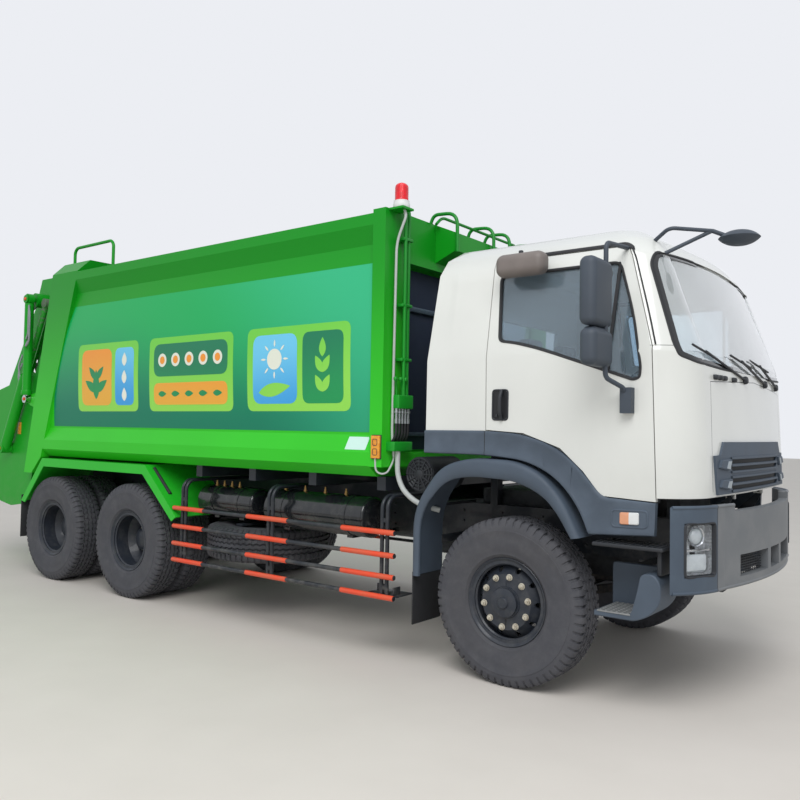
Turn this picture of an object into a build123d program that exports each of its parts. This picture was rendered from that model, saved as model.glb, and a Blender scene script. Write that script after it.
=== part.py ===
"""A rear loading refuse compactor truck, with a forward control cab and three axles.

Millimetres. +X points forward, +Y to the left side and +Z up. The origin is on the
ground, in the middle of the truck's length and width. Lengths along the truck are
given from the front axle, and fx() places them.
"""

import os
from math import cos, radians, sin, sqrt

from build123d import *

os.makedirs("parts", exist_ok=True)

# Driving dimensions
FRONT_AXLE_X = 3240
WHEELBASE = 4115
TANDEM_SPACING = 1370
FRONT_TRACK = 2060
REAR_TRACK = 1850
DUAL_SPACING = 322
HALF_WIDTH = 1250

TYRE_R = 542.5
TYRE_W = 293
RIM_SEAT_R = 256
RIM_W = 216
FLANGE_R = 276

KINGPIN_Y = 900
SPINDLE_R = 45
RUNNING_GAP = 0.3
SEAT_GAP = 0.3

RAIL_OUT = 425
RAIL_TOP = 1090
RAIL_DEEP = 290
RAIL_FLANGE = 90
RAIL_WALL = 10
RAIL_FRONT = 1120
RAIL_OVERHANG = 535

CAB_WALL = 40
CAB_FLOOR = 1280
CAB_REAR_FLOOR = 1490
CAB_BACK = -625
DOOR_GAP = 3
CAB_PIVOT_X = 1180
CAB_PIVOT_Z = 1262

BODY_FRONT = -975
BODY_OVERHANG = 553
POST_W = 118
BODY_FLOOR = 1300
BODY_FLOOR_T = 45
ROOF_EDGE = 3262
FRAME_TOP = 3370
REAR_FRAME_Z = 1111

TRACK_LEAN = 27
BLADE_LONG = 850
BLADE_CLOSED = 30
SLIDE_STROKE = 800
HOPPER_Y = 980
HOPPER_WALL = 30
TROUGH_BACK = -742
TROUGH_Z = 1600
TROUGH_R = 875

HINGE_BACK = 438
HINGE_Z = 3430


def fx(along):
    """x of a place given from the front axle."""
    return FRONT_AXLE_X + along


FIRST_AXLE = -WHEELBASE
LAST_AXLE = -WHEELBASE - TANDEM_SPACING
REAR_AXLES = (fx(FIRST_AXLE), fx(LAST_AXLE))
MIDDLE = FIRST_AXLE / 2
RAIL_REAR = LAST_AXLE - RAIL_OVERHANG
REAR_FRAME_X = LAST_AXLE - BODY_OVERHANG
TROUGH_X = REAR_FRAME_X + TROUGH_BACK
HINGE_X = REAR_FRAME_X + HINGE_BACK


def bx(back):
    """x of a place given from the rear frame's foot, where the tailgate shuts."""
    return fx(REAR_FRAME_X + back)


RIGHT, LEFT = -1, 1
SIDES = (("right", RIGHT), ("left", LEFT))


def shift(points):
    """Side view points with x given from the front axle."""
    return [(fx(x), z) for x, z in points]


def shift_back(points):
    """Side view points with x given from the rear frame's foot."""
    return [(bx(x), z) for x, z in points]


def from_side(outline, y_low, y_high, mode=Mode.ADD):
    """A piece with its outline drawn from the side, as (x, z), between two values of y."""
    with BuildSketch(Plane.XZ.offset(-y_high)) as profile:
        with BuildLine():
            Polyline(*outline, close=True)
        make_face()
    extrude(profile.sketch, amount=y_high - y_low, mode=mode)


def from_front(outline, x_low, x_high, mode=Mode.ADD):
    """A piece with its outline drawn from the front, as (y, z), between two values of x."""
    with BuildSketch(Plane.YZ.offset(x_low)) as profile:
        with BuildLine():
            Polyline(*outline, close=True)
        make_face()
    extrude(profile.sketch, amount=x_high - x_low, mode=mode)


def from_above(outline, z_low, z_high, mode=Mode.ADD):
    """A piece with its outline drawn from above, as (x, y), between two heights."""
    with BuildSketch(Plane.XY.offset(z_low)) as profile:
        with BuildLine():
            Polyline(*outline, close=True)
        make_face()
    extrude(profile.sketch, amount=z_high - z_low, mode=mode)


def block(x_low, x_high, y_low, y_high, z_low, z_high, mode=Mode.ADD):
    """A box between two corners."""
    centre = ((x_low + x_high) / 2, (y_low + y_high) / 2, (z_low + z_high) / 2)
    with Locations(centre):
        Box(x_high - x_low, y_high - y_low, z_high - z_low, mode=mode)


def pin_y(x, z, radius, y_low, y_high, mode=Mode.ADD):
    """A round pin or bore across the truck."""
    with Locations(Location((x, (y_low + y_high) / 2, z), (90, 0, 0))):
        Cylinder(radius, y_high - y_low, mode=mode)


def bar(start, end, radius, mode=Mode.ADD):
    """A round bar between two points."""
    along = Vector(*end) - Vector(*start)
    with BuildSketch(Plane(origin=start, z_dir=along)) as profile:
        Circle(radius)
    extrude(profile.sketch, amount=along.length, mode=mode)


def bent_tube(points, bend, radius):
    """A round tube along straight runs with rounded bends."""
    with BuildLine() as route:
        FilletPolyline(*points, radius=bend)
    path = route.line
    with BuildSketch(Plane(origin=path @ 0, z_dir=path % 0)) as profile:
        Circle(radius)
    sweep(profile.sketch, path=path)


def mirrored(y_side, y_a, y_b):
    """The low and high y of a span on one side of the truck."""
    return tuple(sorted((y_side * y_a, y_side * y_b)))


def housing(x_low, x_high, y_low, y_high, z_low, z_high, corner):
    """A moulded housing: a box that stands clear of the rest, with every edge rounded."""
    block(x_low, x_high, y_low, y_high, z_low, z_high)
    fillet(edges(Select.LAST), corner)


def finish(piece, name):
    piece.part.label = name
    export_step(piece.part, f"parts/{name}.step")


# Tyres and wheels
def tyre(x, y):
    """A tyre ring, its profile in radius and width, turned about the axle line."""
    half = TYRE_W / 2
    profile = [
        (RIM_SEAT_R, -RIM_W / 2 + 8), (FLANGE_R, -RIM_W / 2 + 8), (FLANGE_R + 4, -RIM_W / 2 - 4),
        (FLANGE_R + 60, -half + 8), (FLANGE_R + 130, -half), (TYRE_R - 62, -half + 4),
        (TYRE_R - 12, -half + 20), (TYRE_R, -half + 38),
    ]
    profile += [(r, -w) for r, w in reversed(profile)]
    turned(x, y, LEFT, profile)


def turned(x, y, side, profile, mode=Mode.ADD):
    """A wheel piece from a profile of (radius, distance outwards from the tyre's middle)."""
    with BuildSketch(Plane(origin=(x, y, TYRE_R), x_dir=(0, 0, 1), z_dir=(1, 0, 0))) as section:
        with BuildLine():
            Polyline(*[(r, -side * w) for r, w in profile], close=True)
        make_face()
    revolve(section.sketch, axis=Axis((x, y, TYRE_R), (0, 1, 0)), mode=mode)


def rim(x, y, side, hub_face, disc_root):
    """Rim barrel with its two flanges, and the dished disc out to the hub's face."""
    half = RIM_W / 2
    inner = RIM_SEAT_R - 10
    seat = RIM_SEAT_R - 0.2
    turned(x, y, side, [
        (inner, -half), (FLANGE_R - 1, -half), (FLANGE_R - 1, -half + 7), (seat, -half + 7),
        (seat, half - 7), (FLANGE_R - 1, half - 7), (FLANGE_R - 1, half), (inner, half),
    ])
    step = (hub_face - disc_root) / 3
    turned(x, y, side, [
        (inner + 4, disc_root), (222, disc_root + step), (196, disc_root + 2 * step),
        (178, hub_face), (104, hub_face), (104, hub_face - 12), (172, hub_face - 12),
        (186, disc_root + 2 * step - 8), (212, disc_root + step - 8), (inner + 4, disc_root - 18),
    ])


HAND_HOLES = 10
HAND_HOLE_RING = 209

for name, side in SIDES:
    wheel_y = side * FRONT_TRACK / 2
    with BuildPart() as wheel_front:
        rim(fx(0), wheel_y, side, 118, 30)
        with Locations(Location((fx(0), wheel_y, TYRE_R), (90, 0, 0))):
            with PolarLocations(HAND_HOLE_RING, HAND_HOLES):
                Cylinder(17, 2 * TYRE_W, mode=Mode.SUBTRACT)
        # Brake drum and hub, bored to turn on the stub axle
        bore = SPINDLE_R + RUNNING_GAP
        turned(fx(0), wheel_y, side, [
            (bore, -52), (190, -52), (190, 20), (110, 30), (110, 106), (104, 106), (104, 118),
            (92, 122), (92, 150), (60, 158), (0, 158), (0, 116), (bore, 116),
        ])
        tyre(fx(0), wheel_y)
    finish(wheel_front, f"wheel_front_{name}")

    for axle_name, axle_x in zip(("first", "second"), REAR_AXLES):
        hub_y = side * REAR_TRACK / 2
        outer_y = hub_y + side * DUAL_SPACING / 2
        inner_y = hub_y - side * DUAL_SPACING / 2
        with BuildPart() as wheels_rear:
            face = DUAL_SPACING / 2
            rim(axle_x, inner_y, side, face, 60)
            rim(axle_x, outer_y, -side, face, 60)
            bore = SPINDLE_R + RUNNING_GAP
            # Drum, hub and the half shaft's flange in the deep outer dish
            turned(axle_x, hub_y, side, [
                (bore, -215), (195, -215), (195, -60), (120, -40), (120, 60), (104, 66),
                (104, 120), (70, 140), (0, 140), (0, 40), (bore, 40),
            ])
            tyre(axle_x, outer_y)
            tyre(axle_x, inner_y)
        finish(wheels_rear, f"wheels_rear_{axle_name}_{name}")

# Front axle beam with its spring pads, and the knuckles that carry the front wheels
BEAM_LOW = 400
with BuildPart() as front_axle:
    from_front([
        (-KINGPIN_Y + 30, 500), (-700, 500), (-520, BEAM_LOW), (520, BEAM_LOW), (700, 500),
        (KINGPIN_Y - 30, 500), (KINGPIN_Y - 30, 585), (680, 585), (510, 480), (-510, 480),
        (-680, 585), (-KINGPIN_Y + 30, 585),
    ], fx(-45), fx(45))
    for name, side in SIDES:
        with Locations((fx(0), side * KINGPIN_Y, TYRE_R)):
            Cylinder(48, 100)
            Cylinder(22 + RUNNING_GAP, 100, mode=Mode.SUBTRACT)
finish(front_axle, "front_axle")

ARM_LOW = 428
for name, side in SIDES:
    with BuildPart() as knuckle:
        for z_low, z_high in ((450, 490), (595, 635)):
            with BuildSketch(Plane.XY.offset(z_low)):
                with Locations((fx(0), side * KINGPIN_Y)):
                    Circle(50)
                with Locations((fx(0), side * (KINGPIN_Y + 30))):
                    Rectangle(90, 60)
            extrude(amount=z_high - z_low)
        with Locations((fx(0), side * KINGPIN_Y, TYRE_R)):
            Cylinder(22, 190)
        block(fx(-60), fx(60), *mirrored(side, KINGPIN_Y + 52, KINGPIN_Y + 66), 450, 635)
        pin_y(fx(0), TYRE_R, SPINDLE_R, *mirrored(side, KINGPIN_Y + 60, FRONT_TRACK / 2 + 112))
        # Steering arm to the track rod, behind the axle
        arm = [(fx(0), side * 880), (fx(-200), side * 850), (fx(-200), side * 800),
               (fx(0), side * 850)]
        from_above(arm, ARM_LOW, ARM_LOW + 24)
    finish(knuckle, f"knuckle_{name}")

ROD_Z = ARM_LOW - 30
with BuildPart() as track_rod:
    pin_y(fx(-200), ROD_Z, 20, -800, 800)
    for name, side in SIDES:
        with Locations((fx(-200), side * 825, ROD_Z)):
            Cylinder(30, 2 * (ARM_LOW - ROD_Z - SEAT_GAP))
finish(track_rod, "track_rod")

# Springs: leaves are arc bands, each shorter than the one it lies against
FRONT_SPRING_Y = 385
SPRING_W = 80


def leaf_band(x_middle, z_middle, radius, half_chord, thick, y_low, y_high, up):
    """One leaf, an arc band whose middle is at z_middle and whose ends rise or fall."""
    rise = radius - sqrt(radius**2 - half_chord**2)
    end_z = z_middle + up * rise
    with BuildSketch(Plane.XZ.offset(-y_high)) as profile:
        with BuildLine():
            ThreePointArc((x_middle - half_chord, end_z), (x_middle, z_middle),
                          (x_middle + half_chord, end_z))
            Line((x_middle + half_chord, end_z), (x_middle + half_chord, end_z + thick))
            ThreePointArc((x_middle + half_chord, end_z + thick), (x_middle, z_middle + thick),
                          (x_middle - half_chord, end_z + thick))
            Line((x_middle - half_chord, end_z + thick), (x_middle - half_chord, end_z))
        make_face()
    extrude(profile.sketch, amount=y_high - y_low)


with BuildPart() as springs:
    for name, side in SIDES:
        span = mirrored(side, FRONT_SPRING_Y - SPRING_W / 2, FRONT_SPRING_Y + SPRING_W / 2)
        for half_chord, level in ((260, 0), (470, 1), (640, 2), (740, 3)):
            leaf_band(fx(0), 480 + 18 * level, 1500, half_chord, 18.5, *span, 1)
        for x_end in (-720, 720):
            block(fx(x_end - 35), fx(x_end + 35), *span, 720, RAIL_TOP - RAIL_DEEP)
    TANDEM_X = sum(REAR_AXLES) / 2
    for name, side in SIDES:
        span = mirrored(side, 435, 525)
        for half_chord, level in ((280, 0), (480, 1), (640, 2), (740, 3)):
            leaf_band(TANDEM_X, 672 + 20 * level, 8000, half_chord, 20.5, *span, -1)
        block(TANDEM_X - 130, TANDEM_X + 130, *span, 455, 674)
        block(TANDEM_X - 130, TANDEM_X + 130, *mirrored(side, RAIL_OUT, 436), 455, 980)
    pin_y(TANDEM_X, 500, 45, -440, 440)
finish(springs, "springs")

# Tandem: two drive axles with their propeller shafts
GEARBOX_END = -1480
with BuildPart() as rear_axles:
    for axle_x in REAR_AXLES:
        pin_y(axle_x, TYRE_R, 80, -690, 690)
        with Locations(Location((axle_x, 0, TYRE_R), (0, 90, 0))):
            Cylinder(205, 170)
            Cylinder(110, 520)
        for name, side in SIDES:
            pin_y(axle_x, TYRE_R, SPINDLE_R, *mirrored(side, 680, REAR_TRACK / 2 + 30))
            block(axle_x - 70, axle_x + 70, *mirrored(side, 430, 530), TYRE_R, 640)
    # Propeller shafts from the gearbox to the first axle and on to the second
    bar((fx(GEARBOX_END - 5.5), 0, 830), (REAR_AXLES[0] + 250, 0, 600), 50)
    bar((REAR_AXLES[0] - 250, 0, 600), (REAR_AXLES[1] + 250, 0, 600), 42)
finish(rear_axles, "rear_axles")


# Frame rails are channels open inwards, tied by cross members
LUG_Y = (330, 360)
ARM_Y = (362, 392)
PIVOT = (fx(CAB_PIVOT_X), CAB_PIVOT_Z)
SPARE = (fx(MIDDLE - 702), -650)
SPARE_Z = 636
TOW_THICK = 30
TOW_BORE = 21
FRONT_TOW = (fx(1130), 705)
REAR_TOW = (fx(RAIL_REAR - 95), 740)
RAIL_LOW = RAIL_TOP - RAIL_DEEP
with BuildPart() as chassis_frame:
    for name, side in SIDES:
        x_range = (fx(RAIL_REAR), fx(RAIL_FRONT))
        block(*x_range, *mirrored(side, RAIL_OUT - RAIL_WALL, RAIL_OUT), RAIL_LOW, RAIL_TOP)
        for z_low in (RAIL_LOW, RAIL_TOP - RAIL_WALL):
            flange = mirrored(side, RAIL_OUT - RAIL_FLANGE, RAIL_OUT)
            block(*x_range, *flange, z_low, z_low + RAIL_WALL)
    for along in (1060, -1650, MIDDLE - 642, FIRST_AXLE + 615, (FIRST_AXLE + LAST_AXLE) / 2,
                  RAIL_REAR + 120):
        inner = RAIL_OUT - RAIL_WALL
        block(fx(along - 50), fx(along + 50), -inner, inner, RAIL_LOW + 100, RAIL_TOP - 60)
    # Front tilt pins of the cab, and the rear arch that the shut cab rests on
    for name, side in SIDES:
        arm = shift([(1000, RAIL_TOP), (1115, RAIL_TOP), (1196, 1250), (1166, 1250)])
        from_side(arm, *mirrored(side, *ARM_Y))
        pin_y(*PIVOT, 16, *mirrored(side, *ARM_Y))
        pin_y(*PIVOT, 10, *mirrored(side, 325, 390))
        block(fx(-560), fx(-500), *mirrored(side, 350, RAIL_OUT), RAIL_TOP,
              CAB_REAR_FLOOR - SEAT_GAP)
    block(fx(-560), fx(-500), -RAIL_OUT, RAIL_OUT, 1400, CAB_REAR_FLOOR - SEAT_GAP)
    # Tow eyes: a lug under the front of each rail, and one on the rear cross member
    for name, side in SIDES:
        lug = shift([(1000, RAIL_LOW), (1120, RAIL_LOW), (1190, 740), (1190, 690), (1150, 655),
                     (1090, 655), (1060, 700)])
        from_side(lug, *mirrored(side, RAIL_OUT - TOW_THICK, RAIL_OUT))
        pin_y(*FRONT_TOW, TOW_BORE, *mirrored(side, 360, 440), mode=Mode.SUBTRACT)
    block(fx(RAIL_REAR), fx(RAIL_REAR + 40), -RAIL_OUT + RAIL_WALL, RAIL_OUT - RAIL_WALL,
          RAIL_LOW, 1000)
    eye = RAIL_REAR - 95
    lug = shift([(RAIL_REAR + 30, 960), (RAIL_REAR + 30, 690), (eye + 5, 690), (eye - 35, 705),
                 (eye - 48, 740), (eye - 35, 775), (eye + 5, 790), (RAIL_REAR, 870),
                 (RAIL_REAR, 960)])
    from_side(lug, -TOW_THICK / 2, TOW_THICK / 2)
    pin_y(*REAR_TOW, TOW_BORE, -40, 40, mode=Mode.SUBTRACT)
    # Carrier of the spare wheel under the right rail
    block(SPARE[0] - 40, SPARE[0] + 40, -1000, -RAIL_OUT + RAIL_FLANGE, 784, RAIL_LOW)
    hook = 784 - SPARE_Z - 118 - SEAT_GAP
    with Locations((*SPARE, 784 - hook / 2)):
        Cylinder(45, hook)
finish(chassis_frame, "chassis_frame")

# Engine and gearbox, plain closed blocks at their real size
with BuildPart() as engine_block:
    block(fx(-700), fx(560), -300, 300, 640, 1200)
    block(fx(-500), fx(-400), -415, 415, 860, 960)
    block(fx(250), fx(350), -415, 415, 860, 960)
    with BuildSketch(Plane.YZ.offset(fx(-700))):
        with Locations((0, 850)):
            RectangleRounded(460, 440, 60)
    extrude(amount=-500)
    with BuildSketch(Plane.YZ.offset(fx(-1200))):
        with Locations((0, 850)):
            RectangleRounded(340, 320, 60)
    extrude(amount=GEARBOX_END + 1200)
finish(engine_block, "engine_block")

RADIATOR_X = 760
with BuildPart() as radiator:
    block(fx(RADIATOR_X), fx(RADIATOR_X + 90), -330, 330, 720, 1215)
    block(fx(RADIATOR_X + 20), fx(RADIATOR_X + 70), -415, 415, 900, 980)
finish(radiator, "radiator")

# Cab form: rings of a side, a rounded corner and a curved front, at a few heights
# Columns: height, back, half width, door seam, corner x, corner y, middle of the front
CAB_RINGS = (
    (1000, CAB_BACK, 1200, 1003, 1215, 880, 1250),
    (1280, CAB_BACK, 1200, 1000, 1215, 880, 1250),
    (2130, CAB_BACK, 1192, 969, 1180, 875, 1225),
    (2740, -600, 1085, 803, 960, 840, 1030),
    (2850, -570, 1030, 740, 880, 790, 945),
    (2925, -500, 930, 640, 760, 700, 820),
    (2970, -380, 720, 480, 580, 520, 620),
)


def cab_ring(ring, inset):
    """One closed ring of the cab's form, drawn from above and drawn in by inset."""
    height, back, half, seam, corner_x, corner_y, middle = ring
    x_back, y_side = fx(back) + inset, half - inset
    x_seam = fx(seam) - 0.4 * inset
    x_corner, y_corner = fx(corner_x) - inset, corner_y - 0.4 * inset
    bulge = 42
    x_mid = (x_seam + x_corner) / 2 + bulge
    y_mid = (y_side + y_corner) / 2 + bulge
    x_front = fx(middle) - inset
    with BuildSketch(Plane.XY.offset(height)) as drawn:
        with BuildLine():
            Line((x_back, -y_side), (x_seam, -y_side))
            ThreePointArc((x_seam, -y_side), (x_mid, -y_mid), (x_corner, -y_corner))
            ThreePointArc((x_corner, -y_corner), (x_front, 0), (x_corner, y_corner))
            ThreePointArc((x_corner, y_corner), (x_mid, y_mid), (x_seam, y_side))
            Line((x_seam, y_side), (x_back, y_side))
            Line((x_back, y_side), (x_back, -y_side))
        make_face()
    return drawn.sketch


def cab_form(inset, mode=Mode.ADD):
    """The cab's outer form, or with an inset the space inside a wall of that thickness."""
    rings = []
    for ring in CAB_RINGS:
        lowered = inset if ring[0] > 2500 else 0
        rings.append(cab_ring((ring[0] - lowered,) + ring[1:], inset))
    loft(rings, ruled=True, mode=mode)


# Side view outlines of the cab, from the front axle
DOOR = [(-140, 1653), (137, 1636), (393, 1549), (548, 1413), (666, 1272), (1000, 1256),
        (968, 2156), (807, 2726), (775, 2790), (-154, 2790)]
DOOR_WINDOW = [(-60, 2240), (60, 2222), (230, 2178), (858, 1962), (898, 1975), (905, 2040),
               (850, 2342), (739, 2690), (-96, 2690)]
CLADDING_LOW = [(CAB_BACK - 5, CAB_REAR_FLOOR), (-132, CAB_REAR_FLOOR), (187, 1461), (395, 1353),
                (528, 1189), (584, 1040), (993, 1064)]
CLADDING_TOP = [(1000, 1252), (666, 1268), (548, 1411), (393, 1547), (137, 1634),
                (-160, 1651), (CAB_BACK - 5, 1648)]
UNDER_CAB = [(CAB_BACK - 50, 900), (CAB_BACK - 50, CAB_REAR_FLOOR), (-132, CAB_REAR_FLOOR),
             (187, 1461),
             (395, 1353), (455, CAB_FLOOR), (1400, CAB_FLOOR), (1400, 900)]
CAVITY = [(CAB_BACK, CAB_REAR_FLOOR + CAB_WALL), (200, CAB_REAR_FLOOR + CAB_WALL),
          (440, 1400), (500, CAB_FLOOR + CAB_WALL), (1300, CAB_FLOOR + CAB_WALL),
          (1300, 3000), (CAB_BACK, 3000)]
WINDSCREEN_BACK = 850
WINDSCREEN = [(y * side, z) for side, half in (
    (RIGHT, ((0, 2768), (640, 2762), (1010, 2745), (1052, 2670), (1112, 2170), (1108, 2105),
             (995, 2068), (600, 2050))),
    (LEFT, ((600, 2050), (995, 2068), (1108, 2105), (1112, 2170), (1052, 2670), (1010, 2745),
            (640, 2762)))) for y, z in half]
REAR_WINDOW = [(-700, 2080), (700, 2080), (700, 2520), (-700, 2520)]
SEAL_W = 24


def outline_cut(points, y_low, y_high, grow, mode):
    """Cut or keep a side view outline, grown or shrunk by a gap."""
    with BuildSketch(Plane.XZ.offset(-y_high)) as profile:
        with BuildLine():
            Polyline(*shift(points), close=True)
        make_face()
        if grow:
            offset(amount=grow, kind=Kind.INTERSECTION, mode=Mode.REPLACE)
    extrude(profile.sketch, amount=y_high - y_low, mode=mode)


def front_cut(points, x_low, x_high, grow, mode):
    """Cut or keep a front view outline, grown or shrunk by a gap."""
    with BuildSketch(Plane.YZ.offset(x_low)) as profile:
        with BuildLine():
            Polyline(*points, close=True)
        make_face()
        if grow:
            offset(amount=grow, kind=Kind.INTERSECTION, mode=Mode.REPLACE)
    extrude(profile.sketch, amount=x_high - x_low, mode=mode)


with BuildPart() as cab_cavity:
    cab_form(CAB_WALL)
    from_side(shift(CAVITY), -1300, 1300, Mode.INTERSECT)

SIDE_BAND = 960
CLADDING_BAND = 1158
DOOR_HINGE_INNER = 1160
with BuildPart() as cab_shell:
    cab_form(0)
    from_side(shift(UNDER_CAB), -1300, 1300, Mode.SUBTRACT)
    add(cab_cavity.part, mode=Mode.SUBTRACT)
    front_cut(WINDSCREEN, fx(WINDSCREEN_BACK), fx(1300), 0, Mode.SUBTRACT)
    front_cut(REAR_WINDOW, fx(CAB_BACK - 50), fx(CAB_BACK + 100), 0, Mode.SUBTRACT)
    for name, side in SIDES:
        outline_cut(DOOR, *mirrored(side, SIDE_BAND, 1300), DOOR_GAP, Mode.SUBTRACT)
        outline_cut(CLADDING_LOW + CLADDING_TOP, *mirrored(side, CLADDING_BAND, 1300), 0, Mode.SUBTRACT)
        # Lugs on the chassis's tilt pins
        block(PIVOT[0] - 32, PIVOT[0] + 24, *mirrored(side, *LUG_Y), CAB_PIVOT_Z - 20, CAB_FLOOR)
        pin_y(*PIVOT, 10 + RUNNING_GAP, *mirrored(side, 320, 400), mode=Mode.SUBTRACT)

# The rubber seal inside each door opening, which the shut door rests on
with BuildPart() as seal_bands:
    for name, side in SIDES:
        outline_cut(DOOR, *mirrored(side, SIDE_BAND, 1300), DOOR_GAP, Mode.ADD)
        outline_cut(DOOR, *mirrored(side, SIDE_BAND, 1300), -SEAL_W, Mode.SUBTRACT)
with BuildPart() as door_seals:
    cab_form(CAB_WALL + SEAT_GAP)
    cab_form(CAB_WALL + 14, mode=Mode.SUBTRACT)
    add(seal_bands.part, mode=Mode.INTERSECT)
finish(door_seals, "door_seals")
finish(cab_shell, "cab_shell")

with BuildPart() as cladding_bands:
    for name, side in SIDES:
        outline_cut(CLADDING_LOW + CLADDING_TOP, *mirrored(side, CLADDING_BAND, 1300), 0, Mode.ADD)
with BuildPart() as cab_cladding:
    cab_form(0)
    cab_form(38, mode=Mode.SUBTRACT)
    add(cladding_bands.part, mode=Mode.INTERSECT)
finish(cab_cladding, "cab_cladding")

with BuildPart() as glass_holes:
    front_cut(WINDSCREEN, fx(WINDSCREEN_BACK + SEAT_GAP), fx(1300), -SEAT_GAP, Mode.ADD)
    front_cut(REAR_WINDOW, fx(CAB_BACK - 50), fx(CAB_BACK + 100), -SEAT_GAP, Mode.ADD)
with BuildPart() as cab_glass:
    cab_form(8)
    cab_form(15, mode=Mode.SUBTRACT)
    add(glass_holes.part, mode=Mode.INTERSECT)
finish(cab_glass, "cab_glass")

for name, side in SIDES:
    with BuildPart() as door:
        cab_form(0)
        cab_form(CAB_WALL, mode=Mode.SUBTRACT)
        outline_cut(DOOR, *mirrored(side, SIDE_BAND, 1300), -DOOR_GAP, Mode.INTERSECT)
        outline_cut(DOOR_WINDOW, *mirrored(side, 800, 1300), 0, Mode.SUBTRACT)
        # The inner face is flat beside the hinge line, so that it swings clear of the seal
        block(fx(980), fx(1010), *mirrored(side, 1100, DOOR_HINGE_INNER), 1250, 2200, Mode.SUBTRACT)
    finish(door, f"door_{name}")
    with BuildPart() as door_glass:
        cab_form(12)
        cab_form(18, mode=Mode.SUBTRACT)
        outline_cut(DOOR_WINDOW, *mirrored(side, 800, 1300), -SEAT_GAP, Mode.INTERSECT)
    finish(door_glass, f"door_glass_{name}")
    # Main and wide angle mirrors on one bent tube stay, and on the right a kerb mirror
    with BuildPart() as mirrors:
        housing(fx(690), fx(790), *mirrored(side, 1348, 1563), 2262, 2630, 34)
        housing(fx(695), fx(785), *mirrored(side, 1350, 1563), 2040, 2248, 34)
        stay = [(fx(771), side * 1020, 2778), (fx(771), side * 1392, 2745),
                (fx(771), side * 1392, 1965), (fx(822), side * 1262, 1915),
                (fx(836), side * 1200, 1850)]
        bent_tube(stay, 45, 14)
        block(fx(800), fx(868), *mirrored(side, 1170, 1250), 1765, 1915)
        if side == RIGHT:
            housing(fx(-50), fx(285), *mirrored(side, 1140, 1255), 2655, 2790, 40)
            block(fx(70), fx(120), *mirrored(side, 1020, 1190), 2768, 2784)
        cab_form(-SEAT_GAP, Mode.SUBTRACT)
    finish(mirrors, f"mirrors_{name}")

# Inside the cab: dashboard, seats and steering wheel
with BuildPart() as dashboard:
    cab_form(CAB_WALL + SEAT_GAP)
    from_side(shift([(1250, 1500), (1250, 2040), (900, 2060), (760, 1960), (760, 1800),
                     (900, 1700), (960, 1500)]), -1090, 1090, Mode.INTERSECT)
    wheel_plane = Plane(origin=(fx(560), 620, 2030), z_dir=(-0.55, 0, 0.83))
    with Locations(wheel_plane.location):
        Torus(215, 15)
        Cylinder(60, 40)
        Box(420, 40, 14)
    bar((fx(560), 620, 2030), (fx(790), 620, 1850), 30)
finish(dashboard, "dashboard")

SEATS = (("driver", 620), ("middle", 0), ("passenger", -620))
SEAT_TOP = CAB_REAR_FLOOR + CAB_WALL
with BuildPart() as seats:
    for seat_name, seat_y in SEATS:
        width = 250 if seat_name != "middle" else 190
        block(fx(-330), fx(180), seat_y - width, seat_y + width, SEAT_TOP, SEAT_TOP + 200)
        from_side(shift([(-500, SEAT_TOP + 160), (-320, SEAT_TOP + 160), (-400, SEAT_TOP + 800),
                         (-520, SEAT_TOP + 800)]), seat_y - width, seat_y + width)
finish(seats, "seats")

# Bumper: a wall that curves round to the sides, with lamp recesses and lower slots
BUMPER_LOW, BUMPER_TOP = 748, 1236
BUMPER_WALL = 60
LAMP_Y, LAMP_Z = (928, 1148), (838, 1145)


def bumper_form(inset, z_low, z_high, mode=Mode.ADD):
    """The space behind the bumper's face, drawn from above and drawn in by inset."""
    with BuildSketch(Plane.XY.offset(z_low)) as drawn:
        with BuildLine():
            nose, shoulder, tail = fx(1365) - inset, fx(1269) - inset, fx(1085)
            wide = 1215 - inset
            ThreePointArc((shoulder, -800), (nose, 0), (shoulder, 800))
            ThreePointArc((shoulder, 800), (fx(1205) - inset, 1050 - 0.3 * inset), (tail, wide))
            Line((tail, wide), (tail, -wide))
            ThreePointArc((tail, -wide), (fx(1205) - inset, -1050 + 0.3 * inset),
                          (shoulder, -800))
        make_face()
    extrude(drawn.sketch, amount=z_high - z_low, mode=mode)


with BuildPart() as bumper:
    bumper_form(0, BUMPER_LOW, BUMPER_TOP)
    bumper_form(BUMPER_WALL, BUMPER_LOW - 10, BUMPER_TOP + 10, Mode.SUBTRACT)
    block(fx(1000), fx(1400), -690, 690, 1195, 1300, Mode.SUBTRACT)
    for low, high in ((-620, -170), (-110, 110), (170, 620)):
        block(fx(1200), fx(1400), low, high, 800, 930, Mode.SUBTRACT)
    for name, side in SIDES:
        block(fx(1000), fx(1300), *mirrored(side, *LAMP_Y), *LAMP_Z, Mode.SUBTRACT)
        block(fx(RAIL_FRONT), fx(1290), *mirrored(side, 340, RAIL_OUT), 940, 1060)
finish(bumper, "bumper")

with BuildPart() as headlamps:
    bumper_form(12, LAMP_Z[0] + SEAT_GAP, LAMP_Z[1] - SEAT_GAP)
    bumper_form(90, LAMP_Z[0] - 10, LAMP_Z[1] + 10, Mode.SUBTRACT)
    span = (LAMP_Y[0] + SEAT_GAP, LAMP_Y[1] - SEAT_GAP)
    block(fx(900), fx(1400), -span[0], span[0], 700, 1300, Mode.SUBTRACT)
    for name, side in SIDES:
        block(fx(900), fx(1400), *mirrored(side, span[1], 1400), 700, 1300, Mode.SUBTRACT)
finish(headlamps, "headlamps")

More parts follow.
